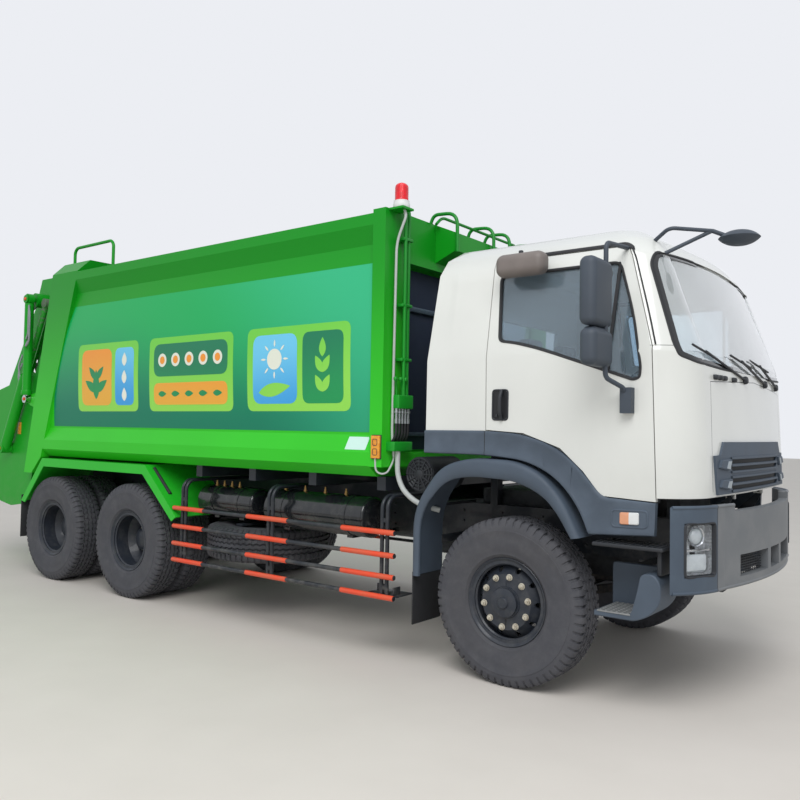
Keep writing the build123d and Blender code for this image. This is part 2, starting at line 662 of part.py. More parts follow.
# Steps under each door: an upper tread and a hollow lower box with its tread
with BuildPart() as steps:
    for name, side in SIDES:
        box_side = shift([(632, 600), (640, 572), (885, 572), (970, 610), (1036, 680),
                          (1036, 853), (632, 853)])
        from_side(box_side, *mirrored(side, 900, 1228))
        block(fx(655), fx(868), *mirrored(side, 940, 1240), 600, 835, Mode.SUBTRACT)
        block(fx(1000), fx(1036), *mirrored(side, 1000, 1200), 850, 985)
        block(fx(627), fx(1052), *mirrored(side, 980, 1238), 981, 1006)
        block(fx(760), fx(860), *mirrored(side, RAIL_OUT, 905), 808, 850)
finish(steps, "steps")

# Front mudguards: a sheet over each front wheel with a deep outer lip and a flap
GUARD_OUT = [(549, 1015), (427, 1245), (279, 1389), (90, 1462), (-261, 1470), (-480, 1400),
             (-700, 1110), (-700, 640)]
GUARD_LIP = [(-640, 640), (-640, 1085), (-450, 1290), (-253, 1342), (92, 1324), (280, 1256),
             (395, 1142), (495, 1000)]
GUARD_IN = [(-686, 640), (-686, 1105), (-472, 1388), (-259, 1456), (88, 1448), (271, 1377),
            (415, 1237), (536, 1008)]
with BuildPart() as mudguards:
    for name, side in SIDES:
        from_side(shift(GUARD_OUT + GUARD_IN), *mirrored(side, 880, 1216))
        from_side(shift(GUARD_OUT + GUARD_LIP), *mirrored(side, 1214, 1242))
        block(fx(-700), fx(-690), *mirrored(side, 890, 1230), 300, 660)
        block(fx(-700), fx(-686), *mirrored(side, RAIL_OUT, 885), 830, 890)
        # Rubber flap behind the second rear wheel
        block(fx(LAST_AXLE - 601), fx(LAST_AXLE - 593.3), *mirrored(side, 600, HALF_WIDTH - 5), 400,
              860)
finish(mudguards, "mudguards")

# Air cleaner behind the cab, on a bracket from the rail
with BuildPart() as air_cleaner:
    block(fx(-800), fx(-740), -900, -345, RAIL_TOP, RAIL_TOP + 20)
    block(fx(-790), fx(-750), -880, -840, RAIL_TOP, 1260)
    pin_y(fx(-770), 1330, 125, -1060, -660)
finish(air_cleaner, "air_cleaner")

# Tanks on the right: columns are rear end, front end, height, radius, y
AIR_TANKS = ((FIRST_AXLE + 825, MIDDLE - 542, 975, 137, 350 - HALF_WIDTH),
             (MIDDLE - 282, -1288, 972, 158, 300 - HALF_WIDTH))
with BuildPart() as air_tanks:
    for rear, front, height, radius, tank_y in AIR_TANKS:
        bar((fx(rear), tank_y, height), (fx(front), tank_y, height), radius)
        for along in (rear + 180, front - 180):
            block(fx(along - 30), fx(along + 30), tank_y - 60, -RAIL_OUT,
                  height - radius - 10, height - radius + 14)
finish(air_tanks, "air_tanks")


def side_box(rear, front, y_low, y_high, z_low, z_high, corner):
    """A tank or box along the rail with rounded long edges."""
    with BuildSketch(Plane.YZ.offset(fx(rear))) as profile:
        with Locations(((y_low + y_high) / 2, (z_low + z_high) / 2)):
            RectangleRounded(y_high - y_low, z_high - z_low, corner)
    extrude(profile.sketch, amount=front - rear)


with BuildPart() as fuel_tank:
    tank_rear, tank_front = MIDDLE - 292, -1150
    side_box(tank_rear, tank_front, 500, HALF_WIDTH - 100, 600, 1120, 90)
    for along in (tank_rear + 200, (tank_rear + tank_front) / 2, tank_front - 200):
        block(fx(along - 30), fx(along + 30), RAIL_OUT, 510, 830, 1060)
finish(fuel_tank, "fuel_tank")

# Battery box behind the fuel tank and silencer in front of it
with BuildPart() as side_boxes:
    side_box(MIDDLE - 942, MIDDLE - 392, 520, HALF_WIDTH - 130, 700, 1080, 20)
    block(fx(MIDDLE - 842), fx(MIDDLE - 492), RAIL_OUT, 525, 850, 1000)
    side_box(-1070, -770, 500, HALF_WIDTH - 130, 660, 1060, 60)
    block(fx(-960), fx(-880), RAIL_OUT, 505, 850, 1000)
finish(side_boxes, "side_boxes")


def turned_flat(profile, mode=Mode.ADD):
    """A spare wheel piece from a profile of (radius, height above its middle)."""
    with BuildSketch(Plane(origin=(*SPARE, SPARE_Z), x_dir=(1, 0, 0), z_dir=(0, -1, 0))) as section:
        with BuildLine():
            Polyline(*profile, close=True)
        make_face()
    revolve(section.sketch, axis=Axis((*SPARE, SPARE_Z), (0, 0, 1)), mode=mode)


# Spare wheel lying flat under the right rail
with BuildPart() as spare_wheel:
    half = TYRE_W / 2
    turned_flat([
        (RIM_SEAT_R, -100), (FLANGE_R, -100), (FLANGE_R + 60, -half + 8), (FLANGE_R + 130, -half),
        (TYRE_R - 62, -half + 4), (TYRE_R - 12, -half + 20), (TYRE_R, -half + 38),
        (TYRE_R, half - 38), (TYRE_R - 12, half - 20), (TYRE_R - 62, half - 4),
        (FLANGE_R + 130, half), (FLANGE_R + 60, half - 8), (FLANGE_R, 100), (RIM_SEAT_R, 100),
    ])
    seat = RIM_SEAT_R - 0.2
    turned_flat([
        (246, -108), (FLANGE_R - 1, -108), (FLANGE_R - 1, -100.2), (seat, -100.2), (seat, 100.2),
        (FLANGE_R - 1, 100.2), (FLANGE_R - 1, 108), (246, 108), (246, 30), (190, 100), (178, 118),
        (30, 118), (30, 106), (172, 106), (184, 90), (246, 10),
    ])
finish(spare_wheel, "spare_wheel")

# Side guards: four bars on bent double tube posts that reach in to the subframe
GUARD_BARS = (453, 599, 752, 913)
GUARD_REAR, GUARD_FRONT = FIRST_AXLE + 730, -857
GUARD_POSTS = (GUARD_REAR + 115, (GUARD_REAR + GUARD_FRONT) / 2 - 34, GUARD_FRONT - 114)
with BuildPart() as side_guards:
    for name, side in SIDES:
        for height in GUARD_BARS:
            y = side * (HALF_WIDTH - 20)
            bar((fx(GUARD_REAR), y, height), (fx(GUARD_FRONT), y, height), 17)
        for post in GUARD_POSTS:
            for apart in (-24, 24):
                x = fx(post + apart)
                post_y = side * (HALF_WIDTH - 49)
                bent_tube([(x, post_y, 440), (x, post_y, 1165), (x, side * RAIL_OUT, 1165)],
                          90, 15)
            for low in (500, 980):
                block(fx(post - 30), fx(post + 30), *mirrored(side, HALF_WIDTH - 56, HALF_WIDTH - 42),
                      low, low + 30)
finish(side_guards, "side_guards")

# Subframe between the rails and the body
SUBFRAME_TOP = 1200
with BuildPart() as subframe:
    for name, side in SIDES:
        block(fx(RAIL_REAR + 20), fx(-1000), *mirrored(side, 345, RAIL_OUT), RAIL_TOP, SUBFRAME_TOP)
    outrigger = (-1060 - FIRST_AXLE - 965) / 3
    for along in (-1060, -1060 - outrigger, -1060 - 2 * outrigger, FIRST_AXLE + 965):
        block(fx(along - 40), fx(along + 40), -1140, 1140, SUBFRAME_TOP, BODY_FLOOR)
    for along in (FIRST_AXLE + 265, FIRST_AXLE - 435, LAST_AXLE + 235, RAIL_REAR + 70):
        block(fx(along - 40), fx(along + 40), -590, 590, SUBFRAME_TOP, BODY_FLOOR)
finish(subframe, "subframe")

# Rear fenders: folded sheets over both rear wheels, with a side lip and a rubber flap
FENDER_TOP = 1278
FENDER_OUT = [(FIRST_AXLE + 785, 834), (FIRST_AXLE + 300, FENDER_TOP),
              (LAST_AXLE - 176, FENDER_TOP), (LAST_AXLE - 593, 800)]
FENDER_IN = [(LAST_AXLE - 579, 797), (LAST_AXLE - 170, FENDER_TOP - 12),
             (FIRST_AXLE + 295, FENDER_TOP - 12), (FIRST_AXLE + 777, 825)]
FENDER_LIP = [(LAST_AXLE - 515, 785), (LAST_AXLE - 145, FENDER_TOP - 87),
              (FIRST_AXLE + 267, FENDER_TOP - 87), (FIRST_AXLE + 723, 790)]
with BuildPart() as fenders:
    for name, side in SIDES:
        from_side(shift(FENDER_OUT + FENDER_IN), *mirrored(side, 590, HALF_WIDTH))
        from_side(shift(FENDER_OUT + FENDER_LIP), *mirrored(side, HALF_WIDTH - 12, HALF_WIDTH))
finish(fenders, "fenders")

# Load body: a hollow section with curved side sheets, cut off on a slant at the rear
REAR_EDGE_LEAN = (FRAME_TOP - REAR_FRAME_Z, 502)


def rear_edge(height):
    """x of the body's slanted rear face, where the tailgate shuts, at a height."""
    rise, run = REAR_EDGE_LEAN
    return fx(REAR_FRAME_X) + (height - REAR_FRAME_Z) * run / rise


def panel_end(height):
    """x where the side panels meet the rear frame's front edge, from the front axle."""
    return REAR_FRAME_X + 368 + (height - 1370) * 0.318


FRONT_WALL = 40
BODY_BACK = REAR_FRAME_X + 138
PANEL_Y = HALF_WIDTH - 50
INSIDE_Y = HALF_WIDTH - 100
ROOF_Y = HALF_WIDTH - 80
with BuildPart() as body_shell:
    outside_long = BODY_FRONT - POST_W - BODY_BACK
    with BuildSketch(Plane.YZ.offset(fx(BODY_BACK))) as outside:
        with BuildLine():
            for y in (RIGHT, LEFT):
                Polyline((0, BODY_FLOOR), (y * INSIDE_Y, BODY_FLOOR), (y * HALF_WIDTH, 1379),
                         (y * HALF_WIDTH, 1478), (y * PANEL_Y, 1605))
                ThreePointArc((y * PANEL_Y, 1605), (y * (PANEL_Y + 38), 2310), (y * PANEL_Y, 3014))
                Polyline((y * PANEL_Y, 3014), (y * HALF_WIDTH, 3150), (y * HALF_WIDTH, 3235),
                         (y * ROOF_Y, ROOF_EDGE))
            ThreePointArc((-ROOF_Y, ROOF_EDGE), (0, ROOF_EDGE + 38), (ROOF_Y, ROOF_EDGE))
        make_face()
    extrude(outside.sketch, amount=outside_long)
    with BuildSketch(Plane.YZ.offset(fx(BODY_BACK))) as inside:
        with BuildLine():
            floor_top = BODY_FLOOR + BODY_FLOOR_T
            for y in (RIGHT, LEFT):
                Polyline((0, floor_top), (y * INSIDE_Y, floor_top), (y * INSIDE_Y, 1605))
                ThreePointArc((y * INSIDE_Y, 1605), (y * (INSIDE_Y + 38), 2310),
                              (y * INSIDE_Y, 3014))
                Line((y * INSIDE_Y, 3014), (y * INSIDE_Y, 3200))
            ThreePointArc((-INSIDE_Y, 3200), (0, 3236), (INSIDE_Y, 3200))
        make_face()
    extrude(inside.sketch, amount=outside_long - FRONT_WALL, mode=Mode.SUBTRACT)
    cut = [(panel_end(1200), 1200), (panel_end(3400), 3400), (REAR_FRAME_X - 162, 3400),
           (REAR_FRAME_X - 162, 1200)]
    from_side(shift(cut), -HALF_WIDTH - 50, HALF_WIDTH + 50, Mode.SUBTRACT)
finish(body_shell, "body_shell")

FRAME_SIDE = [(panel_end(1290), 1290), (panel_end(FRAME_TOP), FRAME_TOP),
              (REAR_FRAME_X + REAR_EDGE_LEAN[1], FRAME_TOP),
              (REAR_FRAME_X, REAR_FRAME_Z), (REAR_FRAME_X + 158, REAR_FRAME_Z)]
with BuildPart() as rear_frame:
    from_side(shift(FRAME_SIDE), -HALF_WIDTH, HALF_WIDTH)
    from_front([(-INSIDE_Y, 1000), (INSIDE_Y, 1000), (INSIDE_Y, 3200), (-INSIDE_Y, 3200)],
               bx(-162), bx(1138), Mode.SUBTRACT)
    from_side([(fx(panel_end(BODY_FLOOR)), BODY_FLOOR), (fx(panel_end(1345)), 1345),
               (rear_edge(1345), 1345), (rear_edge(BODY_FLOOR), BODY_FLOOR)],
              -INSIDE_Y, INSIDE_Y)
    for name, side in SIDES:
        corner = [(side * (HALF_WIDTH - 120), FRAME_TOP + 5), (side * (HALF_WIDTH + 5), FRAME_TOP + 5),
                  (side * (HALF_WIDTH + 5), FRAME_TOP - 130)]
        from_front(corner, bx(-162), bx(1138), Mode.SUBTRACT)
        # Tailgate hinge cheeks, and the lower pin bracket of the lift cylinder
        for cheek in ((595, 628), (682, 715)):
            ear = shift([(HINGE_X + 400, 3370), (HINGE_X + 40, 3485), (HINGE_X - 40, 3485),
                         (HINGE_X - 60, 3420), (HINGE_X, 3380), (HINGE_X + 100, 3360),
                         (HINGE_X + 300, 3350)])
            from_side(ear, *mirrored(side, *cheek))
        pin_y(fx(HINGE_X), HINGE_Z, 24, *mirrored(side, 600, 710))
        bracket = shift_back([(198, 2000), (-62, 1975), (-142, 1945), (-142, 1885), (-62, 1850),
                              (198, 1780)])
        from_side(bracket, *mirrored(side, INSIDE_Y, INSIDE_Y + 18))
finish(rear_frame, "rear_frame")

BEACON_Y = 100 - HALF_WIDTH
with BuildPart() as front_frame:
    low, high = fx(BODY_FRONT - POST_W), fx(BODY_FRONT)
    post_in = HALF_WIDTH - 250
    for name, side in SIDES:
        block(low, high, *mirrored(side, post_in, HALF_WIDTH), 1375, ROOF_EDGE)
    block(low, high, -post_in, post_in, 2900, ROOF_EDGE)
    block(low, high, -post_in, post_in, 1375, 1480)
    from_side([(high, 2960), (high + 190, 3040), (high + 190, 3180), (high, ROOF_EDGE)],
              -620, 620)
    block(high, high + 130, BEACON_Y - 65, BEACON_Y + 65, ROOF_EDGE - 15, ROOF_EDGE)
finish(front_frame, "front_frame")

# Push-out plate, drawn back against the body's front wall
EJECTOR_FACE = -1360
with BuildPart() as ejector:
    face = shift([(EJECTOR_FACE - 60, 1352), (EJECTOR_FACE, 1352), (EJECTOR_FACE + 160, 3100),
                  (EJECTOR_FACE + 100, 3100)])
    from_side(face, -1138, 1138)
    for rib in (-900, -450, 0, 450, 900):
        gusset = shift([(EJECTOR_FACE, 1352), (EJECTOR_FACE + 220, 1352),
                        (EJECTOR_FACE + 220, 1420), (EJECTOR_FACE + 80, 2250)])
        from_side(gusset, rib - 20, rib + 20)
    for name, side in SIDES:
        block(fx(EJECTOR_FACE - 50), fx(EJECTOR_FACE + 220), *mirrored(side, 1040, 1120),
              1345 + SEAT_GAP, 1400)
finish(ejector, "ejector")

# The packer's track leans back towards its foot. Rest is carriage up, blade closed.
TRACK_UP = (sin(radians(TRACK_LEAN)), cos(radians(TRACK_LEAN)))
CARRIAGE_FOOT = (fx(TROUGH_X) + SLIDE_STROKE * TRACK_UP[0], TROUGH_Z + SLIDE_STROKE * TRACK_UP[1])


def on_carriage(along, behind):
    """Side view point so far up the track from the blade's hinge, and so far behind it."""
    return (CARRIAGE_FOOT[0] + along * TRACK_UP[0] - behind * TRACK_UP[1],
            CARRIAGE_FOOT[1] + along * TRACK_UP[1] + behind * TRACK_UP[0])


BLADE_DOWN = (sin(radians(BLADE_CLOSED)), -cos(radians(BLADE_CLOSED)))


def on_blade(along, behind):
    """Side view point so far down the closed blade from its hinge, and so far behind it."""
    return (CARRIAGE_FOOT[0] + along * BLADE_DOWN[0] + behind * BLADE_DOWN[1],
            CARRIAGE_FOOT[1] + along * BLADE_DOWN[1] - behind * BLADE_DOWN[0])


TAIL_GAP = 12
FRAME_DEEP = 95


def tail_front(height, back=0):
    """x of the tailgate's front face at a height, or of a line so far behind it."""
    return rear_edge(height) - TAIL_GAP - back


# Track line of the slide cylinders, outside the hopper's walls
SLIDE_Y = 1085
SLIDE_PIN = (bx(-781), 1352)
SLIDE_BARREL = 946
SLIDE_EYE = SLIDE_BARREL + 100 + SLIDE_STROKE
LIFT_Y = HALF_WIDTH - 50
LIFT_PIN = (bx(-100), 3040)
LIFT_FOOT = (bx(-97), 1920)
TROUGH = (fx(TROUGH_X), TROUGH_Z)


def on_slide(along, behind=0):
    """Side view point along the slide cylinder from its lower pin."""
    return (SLIDE_PIN[0] + along * TRACK_UP[0] - behind * TRACK_UP[1],
            SLIDE_PIN[1] + along * TRACK_UP[1] + behind * TRACK_UP[0])


def on_trough(radius, degrees):
    """Side view point on the trough's arc, in degrees back from straight down."""
    return (TROUGH[0] - radius * sin(radians(degrees)), TROUGH[1] - radius * cos(radians(degrees)))


# Hopper walls: upright behind the front frame, low over the trough, slotted for the slide
WALL_OUTLINE = [(tail_front(840), 840), (tail_front(3300), 3300), (bx(-192), 3300),
                on_slide(1650, 330), on_slide(620, 430), (bx(-1522), 1960), (bx(-1822), 1500),
                (bx(-1822), 1150), (bx(-1562), 1080)]
UNDER_TROUGH = [on_trough(TROUGH_R + 45, angle) for angle in (52, 34, 16, 0, -16, -30)]
with BuildPart() as tailgate_shell:
    for name, side in SIDES:
        span = mirrored(side, HOPPER_Y, HOPPER_Y + HOPPER_WALL)
        from_side(WALL_OUTLINE + UNDER_TROUGH, *span)
        slot = [on_slide(SLIDE_EYE - SLIDE_STROKE - 60, -50), on_slide(SLIDE_EYE + 60, -50),
                on_slide(SLIDE_EYE + 60, 50), on_slide(SLIDE_EYE - SLIDE_STROKE - 60, 50)]
        from_side(slot, *span, Mode.SUBTRACT)
        outer = HOPPER_Y + HOPPER_WALL
        for radius, mount, reach in ((70, SLIDE_PIN, outer + 10), (80, LIFT_PIN, LIFT_Y - 60)):
            pin_y(*mount, radius, *mirrored(side, outer, reach))
        # Lower pin of the slide cylinder and upper pin of the lift cylinder
        pin_y(*SLIDE_PIN, 28, *mirrored(side, outer, SLIDE_Y + 62))
        pin_y(*LIFT_PIN, 28, *mirrored(side, outer, LIFT_Y + 36))
        pin_y(*LIFT_PIN, 45, *mirrored(side, LIFT_Y + 35, LIFT_Y + 49))
    # Front frame and its header
    posts = [(tail_front(900), 900), (tail_front(3300), 3300),
             (tail_front(3300, FRAME_DEEP), 3300), (tail_front(900, FRAME_DEEP), 900)]
    wall_out = HOPPER_Y + HOPPER_WALL
    for name, side in SIDES:
        from_side(posts, *mirrored(side, wall_out, INSIDE_Y))
        # Ears that turn on the body's hinge pins
        ear = shift([(HINGE_X + 40, HINGE_Z + 20), (HINGE_X + 25, HINGE_Z + 48),
                     (HINGE_X - 25, HINGE_Z + 48), (HINGE_X - 160, 3332), (HINGE_X - 190, 3300),
                     (HINGE_X - 40, 3300), (HINGE_X + 15, 3370), (HINGE_X + 40, HINGE_Z - 30)])
        from_side(ear, *mirrored(side, 632, 678))
        pin_y(fx(HINGE_X), HINGE_Z, 24 + RUNNING_GAP, *mirrored(side, 620, 690),
              mode=Mode.SUBTRACT)
    header = [(tail_front(3150), 3150), (tail_front(3300), 3300), (bx(-192), 3300),
              (bx(-192), 3268), (tail_front(3268, FRAME_DEEP), 3268),
              (tail_front(3150, FRAME_DEEP), 3150)]
    from_side(header, -HOPPER_Y, HOPPER_Y)
finish(tailgate_shell, "tailgate_shell")

# Trough: the hopper's floor, rolled about the lowered blade's hinge
WALL_FOOT = on_trough(TROUGH_R, -BLADE_CLOSED)
SILL_BACK = -1812
with BuildPart() as tailgate_trough:
    with BuildSketch(Plane.XZ.offset(-HOPPER_Y)) as section:
        with BuildLine():
            ThreePointArc(on_trough(TROUGH_R, -BLADE_CLOSED), on_trough(TROUGH_R, 16),
                          on_trough(TROUGH_R, 62))
            Polyline(on_trough(TROUGH_R, 62), (bx(-1662), 1262), (bx(SILL_BACK), 1262),
                     (bx(SILL_BACK), 1130), (bx(-1652), 1130), on_trough(TROUGH_R + 30, 60))
            ThreePointArc(on_trough(TROUGH_R + 30, 60), on_trough(TROUGH_R + 30, 16),
                          on_trough(TROUGH_R + 30, -BLADE_CLOSED))
            lip = 1345
            foot = on_trough(TROUGH_R + 30, -BLADE_CLOSED)
            rise = (lip - WALL_FOOT[1]) * TRACK_UP[0] / TRACK_UP[1]
            Polyline(foot, (WALL_FOOT[0] + rise + 34, lip), (WALL_FOOT[0] + rise, lip), WALL_FOOT)
        make_face()
    extrude(section.sketch, amount=2 * HOPPER_Y)
finish(tailgate_trough, "tailgate_trough")

with BuildPart() as rear_lamps:
    for name, side in SIDES:
        block(bx(SILL_BACK - 55), bx(SILL_BACK), *mirrored(side, 620, 940), 1140, 1250)
finish(rear_lamps, "rear_lamps")

# Packer carriage: a ribbed plate with trunnions through the slots to the slide rods
PLATE_Y = 968
HORN_Y = (780, 805)
SWEEP_TOP = (880, 250)
with BuildPart() as carriage:
    plate = [on_carriage(90, -30), on_carriage(940, -30), on_carriage(940, 30),
             on_carriage(90, 30)]
    from_side(plate, -PLATE_Y, PLATE_Y)
    for rib in (-600, -200, 200, 600):
        web = [on_carriage(140, 28), on_carriage(900, 28), on_carriage(860, 90),
               on_carriage(200, 90)]
        from_side(web, rib - 12, rib + 12)
    for low, high in ((-40, 40), (690, 760), (-760, -690)):
        lug = [on_carriage(-40, -30), on_carriage(120, -30), on_carriage(120, 30),
               on_carriage(-40, 30)]
        from_side(lug, low, high)
    pin_y(*CARRIAGE_FOOT, 30 + RUNNING_GAP, -780, 780, mode=Mode.SUBTRACT)
    for name, side in SIDES:
        horn = [on_carriage(720, 28), on_carriage(930, 28), on_carriage(930, 260),
                on_carriage(840, 300), on_carriage(820, 220)]
        from_side(horn, *mirrored(side, *HORN_Y))
        pin_y(*on_carriage(*SWEEP_TOP), 24, *mirrored(side, HORN_Y[0] + 2, 892))
        eye = on_slide(SLIDE_EYE)
        arm = [on_slide(SLIDE_EYE - 40, -36), on_slide(SLIDE_EYE + 40, -36),
               on_slide(SLIDE_EYE + 40, 60), on_slide(SLIDE_EYE - 40, 60)]
        from_side(arm, *mirrored(side, 880, 972))
        pin_y(*eye, 32, *mirrored(side, 960, 1122))
        start, end = on_slide(880), on_slide(SLIDE_EYE)
        bar((start[0], side * SLIDE_Y, start[1]), (end[0], side * SLIDE_Y, end[1]), 32)
        pin_y(*eye, 52, *mirrored(side, 1050, 1120))
finish(carriage, "carriage")

with BuildPart() as slide_barrels:
    for name, side in SIDES:
        low, high = on_slide(0), on_slide(SLIDE_BARREL)
        bar((low[0], side * SLIDE_Y, low[1]), (high[0], side * SLIDE_Y, high[1]), 60)
        bore = on_slide(60)
        bar((bore[0], side * SLIDE_Y, bore[1]), (high[0], side * SLIDE_Y, high[1]),
            32 + RUNNING_GAP, Mode.SUBTRACT)
        pin_y(*SLIDE_PIN, 58, *mirrored(side, 1026, 1144))
        pin_y(*SLIDE_PIN, 28.2, *mirrored(side, 1000, 1160), mode=Mode.SUBTRACT)
finish(slide_barrels, "slide_barrels")

# Blade, hung from the carriage's foot
HORN = (120, 260)
with BuildPart() as blade:
    sweep_plate = [on_blade(75, -25), on_blade(BLADE_LONG - 40, -25), on_blade(BLADE_LONG, 10),
                   on_blade(BLADE_LONG, 45), on_blade(BLADE_LONG - 60, 30), on_blade(75, 25)]
    from_side(sweep_plate, -962, 962)
    for rib in (-600, -200, 200, 600):
        web = [on_blade(120, 23), on_blade(760, 23), on_blade(700, 80), on_blade(160, 80)]
        from_side(web, rib - 12, rib + 12)
    for low, high in ((600, 680), (-680, -600), (790, 962), (-962, -790), (60, 160),
                      (-160, -60)):
        lug = [on_blade(-38, -25), on_blade(90, -25), on_blade(90, 25), on_blade(-38, 25)]
        from_side(lug, low, high)
    pin_y(*CARRIAGE_FOOT, 30, -962, 962)
    for name, side in SIDES:
        horn = [on_blade(80, 23), on_blade(400, 23), on_blade(150, 290), on_blade(90, 290)]
        from_side(horn, *mirrored(side, *HORN_Y))
        pin_y(*on_blade(*HORN), 34, *mirrored(side, HORN_Y[0] + 2, 838))
finish(blade, "blade")

# Sweep cylinders: barrel on the carriage's horn, rod eye beside the blade's horn
SWEEP_Y = 870
SWEEP_BARREL = 640


def across(point, y):
    """The place of a side view point at a y."""
    return Vector(point[0], y, point[1])


def cylinder_line(top, foot, y):
    """Start and direction of a cylinder between two side view points."""
    start = across(top, y)
    return start, (across(foot, y) - start).normalized()


with BuildPart() as sweep_barrels:
    for name, side in SIDES:
        top = on_carriage(*SWEEP_TOP)
        start, way = cylinder_line(top, on_blade(*HORN), side * SWEEP_Y)
        bar(tuple(start), tuple(start + way * SWEEP_BARREL), 52)
        bar(tuple(start + way * 60), tuple(start + way * SWEEP_BARREL), 26 + RUNNING_GAP,
            Mode.SUBTRACT)
        pin_y(*top, 24 + RUNNING_GAP, *mirrored(side, 800, 940), mode=Mode.SUBTRACT)
finish(sweep_barrels, "sweep_barrels")

with BuildPart() as sweep_rods:
    for name, side in SIDES:
        foot = on_blade(*HORN)
        start, way = cylinder_line(on_carriage(*SWEEP_TOP), foot, side * SWEEP_Y)
        bar(tuple(start + way * 520), tuple(across(foot, side * SWEEP_Y)), 26)
        pin_y(*foot, 40, *mirrored(side, 852, 888))
finish(sweep_rods, "sweep_rods")

# Lift cylinders: barrel hung from the tailgate, rod eye beside the body's bracket
LIFT_BARREL = 1050
with BuildPart() as lift_barrels:
    for name, side in SIDES:
        start, way = cylinder_line(LIFT_PIN, LIFT_FOOT, side * LIFT_Y)
        bar(tuple(start + way * 50), tuple(start + way * LIFT_BARREL), 48)
        pin_y(*LIFT_PIN, 62, *mirrored(side, LIFT_Y - 28, LIFT_Y + 30))
        bar(tuple(start + way * 70), tuple(start + way * LIFT_BARREL), 28 + RUNNING_GAP,
            Mode.SUBTRACT)
        pin_y(*LIFT_PIN, 28 + RUNNING_GAP, *mirrored(side, LIFT_Y - 50, LIFT_Y + 49),
              mode=Mode.SUBTRACT)
finish(lift_barrels, "lift_barrels")

with BuildPart() as lift_rods:
    for name, side in SIDES:
        start, way = cylinder_line(LIFT_PIN, LIFT_FOOT, side * LIFT_Y)
        bar(tuple(start + way * 80), tuple(across(LIFT_FOOT, side * LIFT_Y)), 28)
        pin_y(*LIFT_FOOT, 44, *mirrored(side, LIFT_Y - 27, LIFT_Y + 28))
finish(lift_rods, "lift_rods")

# Front of the cab: grille, wipers and the mirror that the cab itself carries
GRILLE = [(-814, 1292), (814, 1292), (838, 1524), (745, 1526), (688, 1606), (-688, 1606),
          (-745, 1526), (-838, 1524)]
GRILLE_ROWS = (1312, 1428)
with BuildPart() as grille:
    cab_form(-14)
    cab_form(0, mode=Mode.SUBTRACT)
    front_cut(GRILLE, fx(900), fx(1400), 0, Mode.INTERSECT)
    for row in GRILLE_ROWS:
        for slot in (0, 1):
            low = row + slot * 44
            front_cut([(-560, low), (560, low), (590, low + 26), (-590, low + 26)], fx(900),
                      fx(1400), 0, Mode.SUBTRACT)
finish(grille, "grille")

# Wipers: columns are the pivot's x and y, then the arm's end, x, y and height
WIPERS = ((1243, -225, 1190, -915, 2138), (1243, 290, 1240, -330, 2122),
          (1222, 720, 1243, 110, 2124))
PIVOT_Z = 2006
with BuildPart() as wipers:
    for pivot_x, pivot_y, end_x, end_y, end_z in WIPERS:
        bar((fx(1150), pivot_y, PIVOT_Z), (fx(pivot_x), pivot_y, PIVOT_Z), 14)
        bar((fx(pivot_x - 8), pivot_y, PIVOT_Z), (fx(end_x), end_y, end_z), 8)
        bar((fx(end_x - 24), end_y - 170, end_z + 26), (fx(end_x + 8), end_y + 190, end_z - 30), 7)
    cab_form(-SEAT_GAP, Mode.SUBTRACT)
finish(wipers, "wipers")

# Close view mirror ahead of the windscreen, a shallow bowl on two stays from the pillar
LOOK_DOWN = (fx(1335), -760, 2822)
with BuildPart() as cab_mirrors:
    with BuildSketch(Plane(origin=LOOK_DOWN, x_dir=(1, 0, 0), z_dir=(0, -1, 0))) as bowl:
        with BuildLine():
            ThreePointArc((0, -40), (85, -26), (118, 0))
            ThreePointArc((118, 0), (80, 30), (0, 42))
            Line((0, 42), (0, -40))
        make_face()
    revolve(bowl.sketch, axis=Axis(LOOK_DOWN, (0, 0, 1)))
    joint = (fx(1195), -818, 2872)
    bent_tube([(fx(800), -880, 2790), (fx(985), -960, 2890), joint], 60, 12)
    bar((fx(860), -960, 2702), joint, 12)
    bar(joint, (LOOK_DOWN[0] - 70, LOOK_DOWN[1] - 25, LOOK_DOWN[2] + 18), 13)
    cab_form(-SEAT_GAP, Mode.SUBTRACT)
finish(cab_mirrors, "cab_mirrors")

# Lamps on the body: amber side markers and the red beacon on the front frame
with BuildPart() as marker_lamps:
    for name, side in SIDES:
        block(fx(-1060), fx(-1010), *mirrored(side, HALF_WIDTH, HALF_WIDTH + 12), 1440, 1600)
    with Locations((fx(-910), BEACON_Y, ROOF_EDGE + 20)):
        Cylinder(60, 40)
    with Locations((fx(-910), BEACON_Y, ROOF_EDGE + 95)):
        Cylinder(52, 110)
finish(marker_lamps, "marker_lamps")

with BuildPart() as roof_rails:
    for name, side in SIDES:
        y = side * (HALF_WIDTH - 200)
        rail_rear, rail_front = bx(558), bx(1288)
        bent_tube([(rail_rear, y, FRAME_TOP), (rail_rear, y, 3560), (rail_front, y, 3560),
                   (rail_front, y, ROOF_EDGE + 9)], 70, 16)
finish(roof_rails, "roof_rails")
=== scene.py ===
"""Looks of a rear-loading refuse truck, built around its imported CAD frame, in metres."""
import math

import bmesh
import bpy
import numpy as np
from mathutils import Matrix, Vector


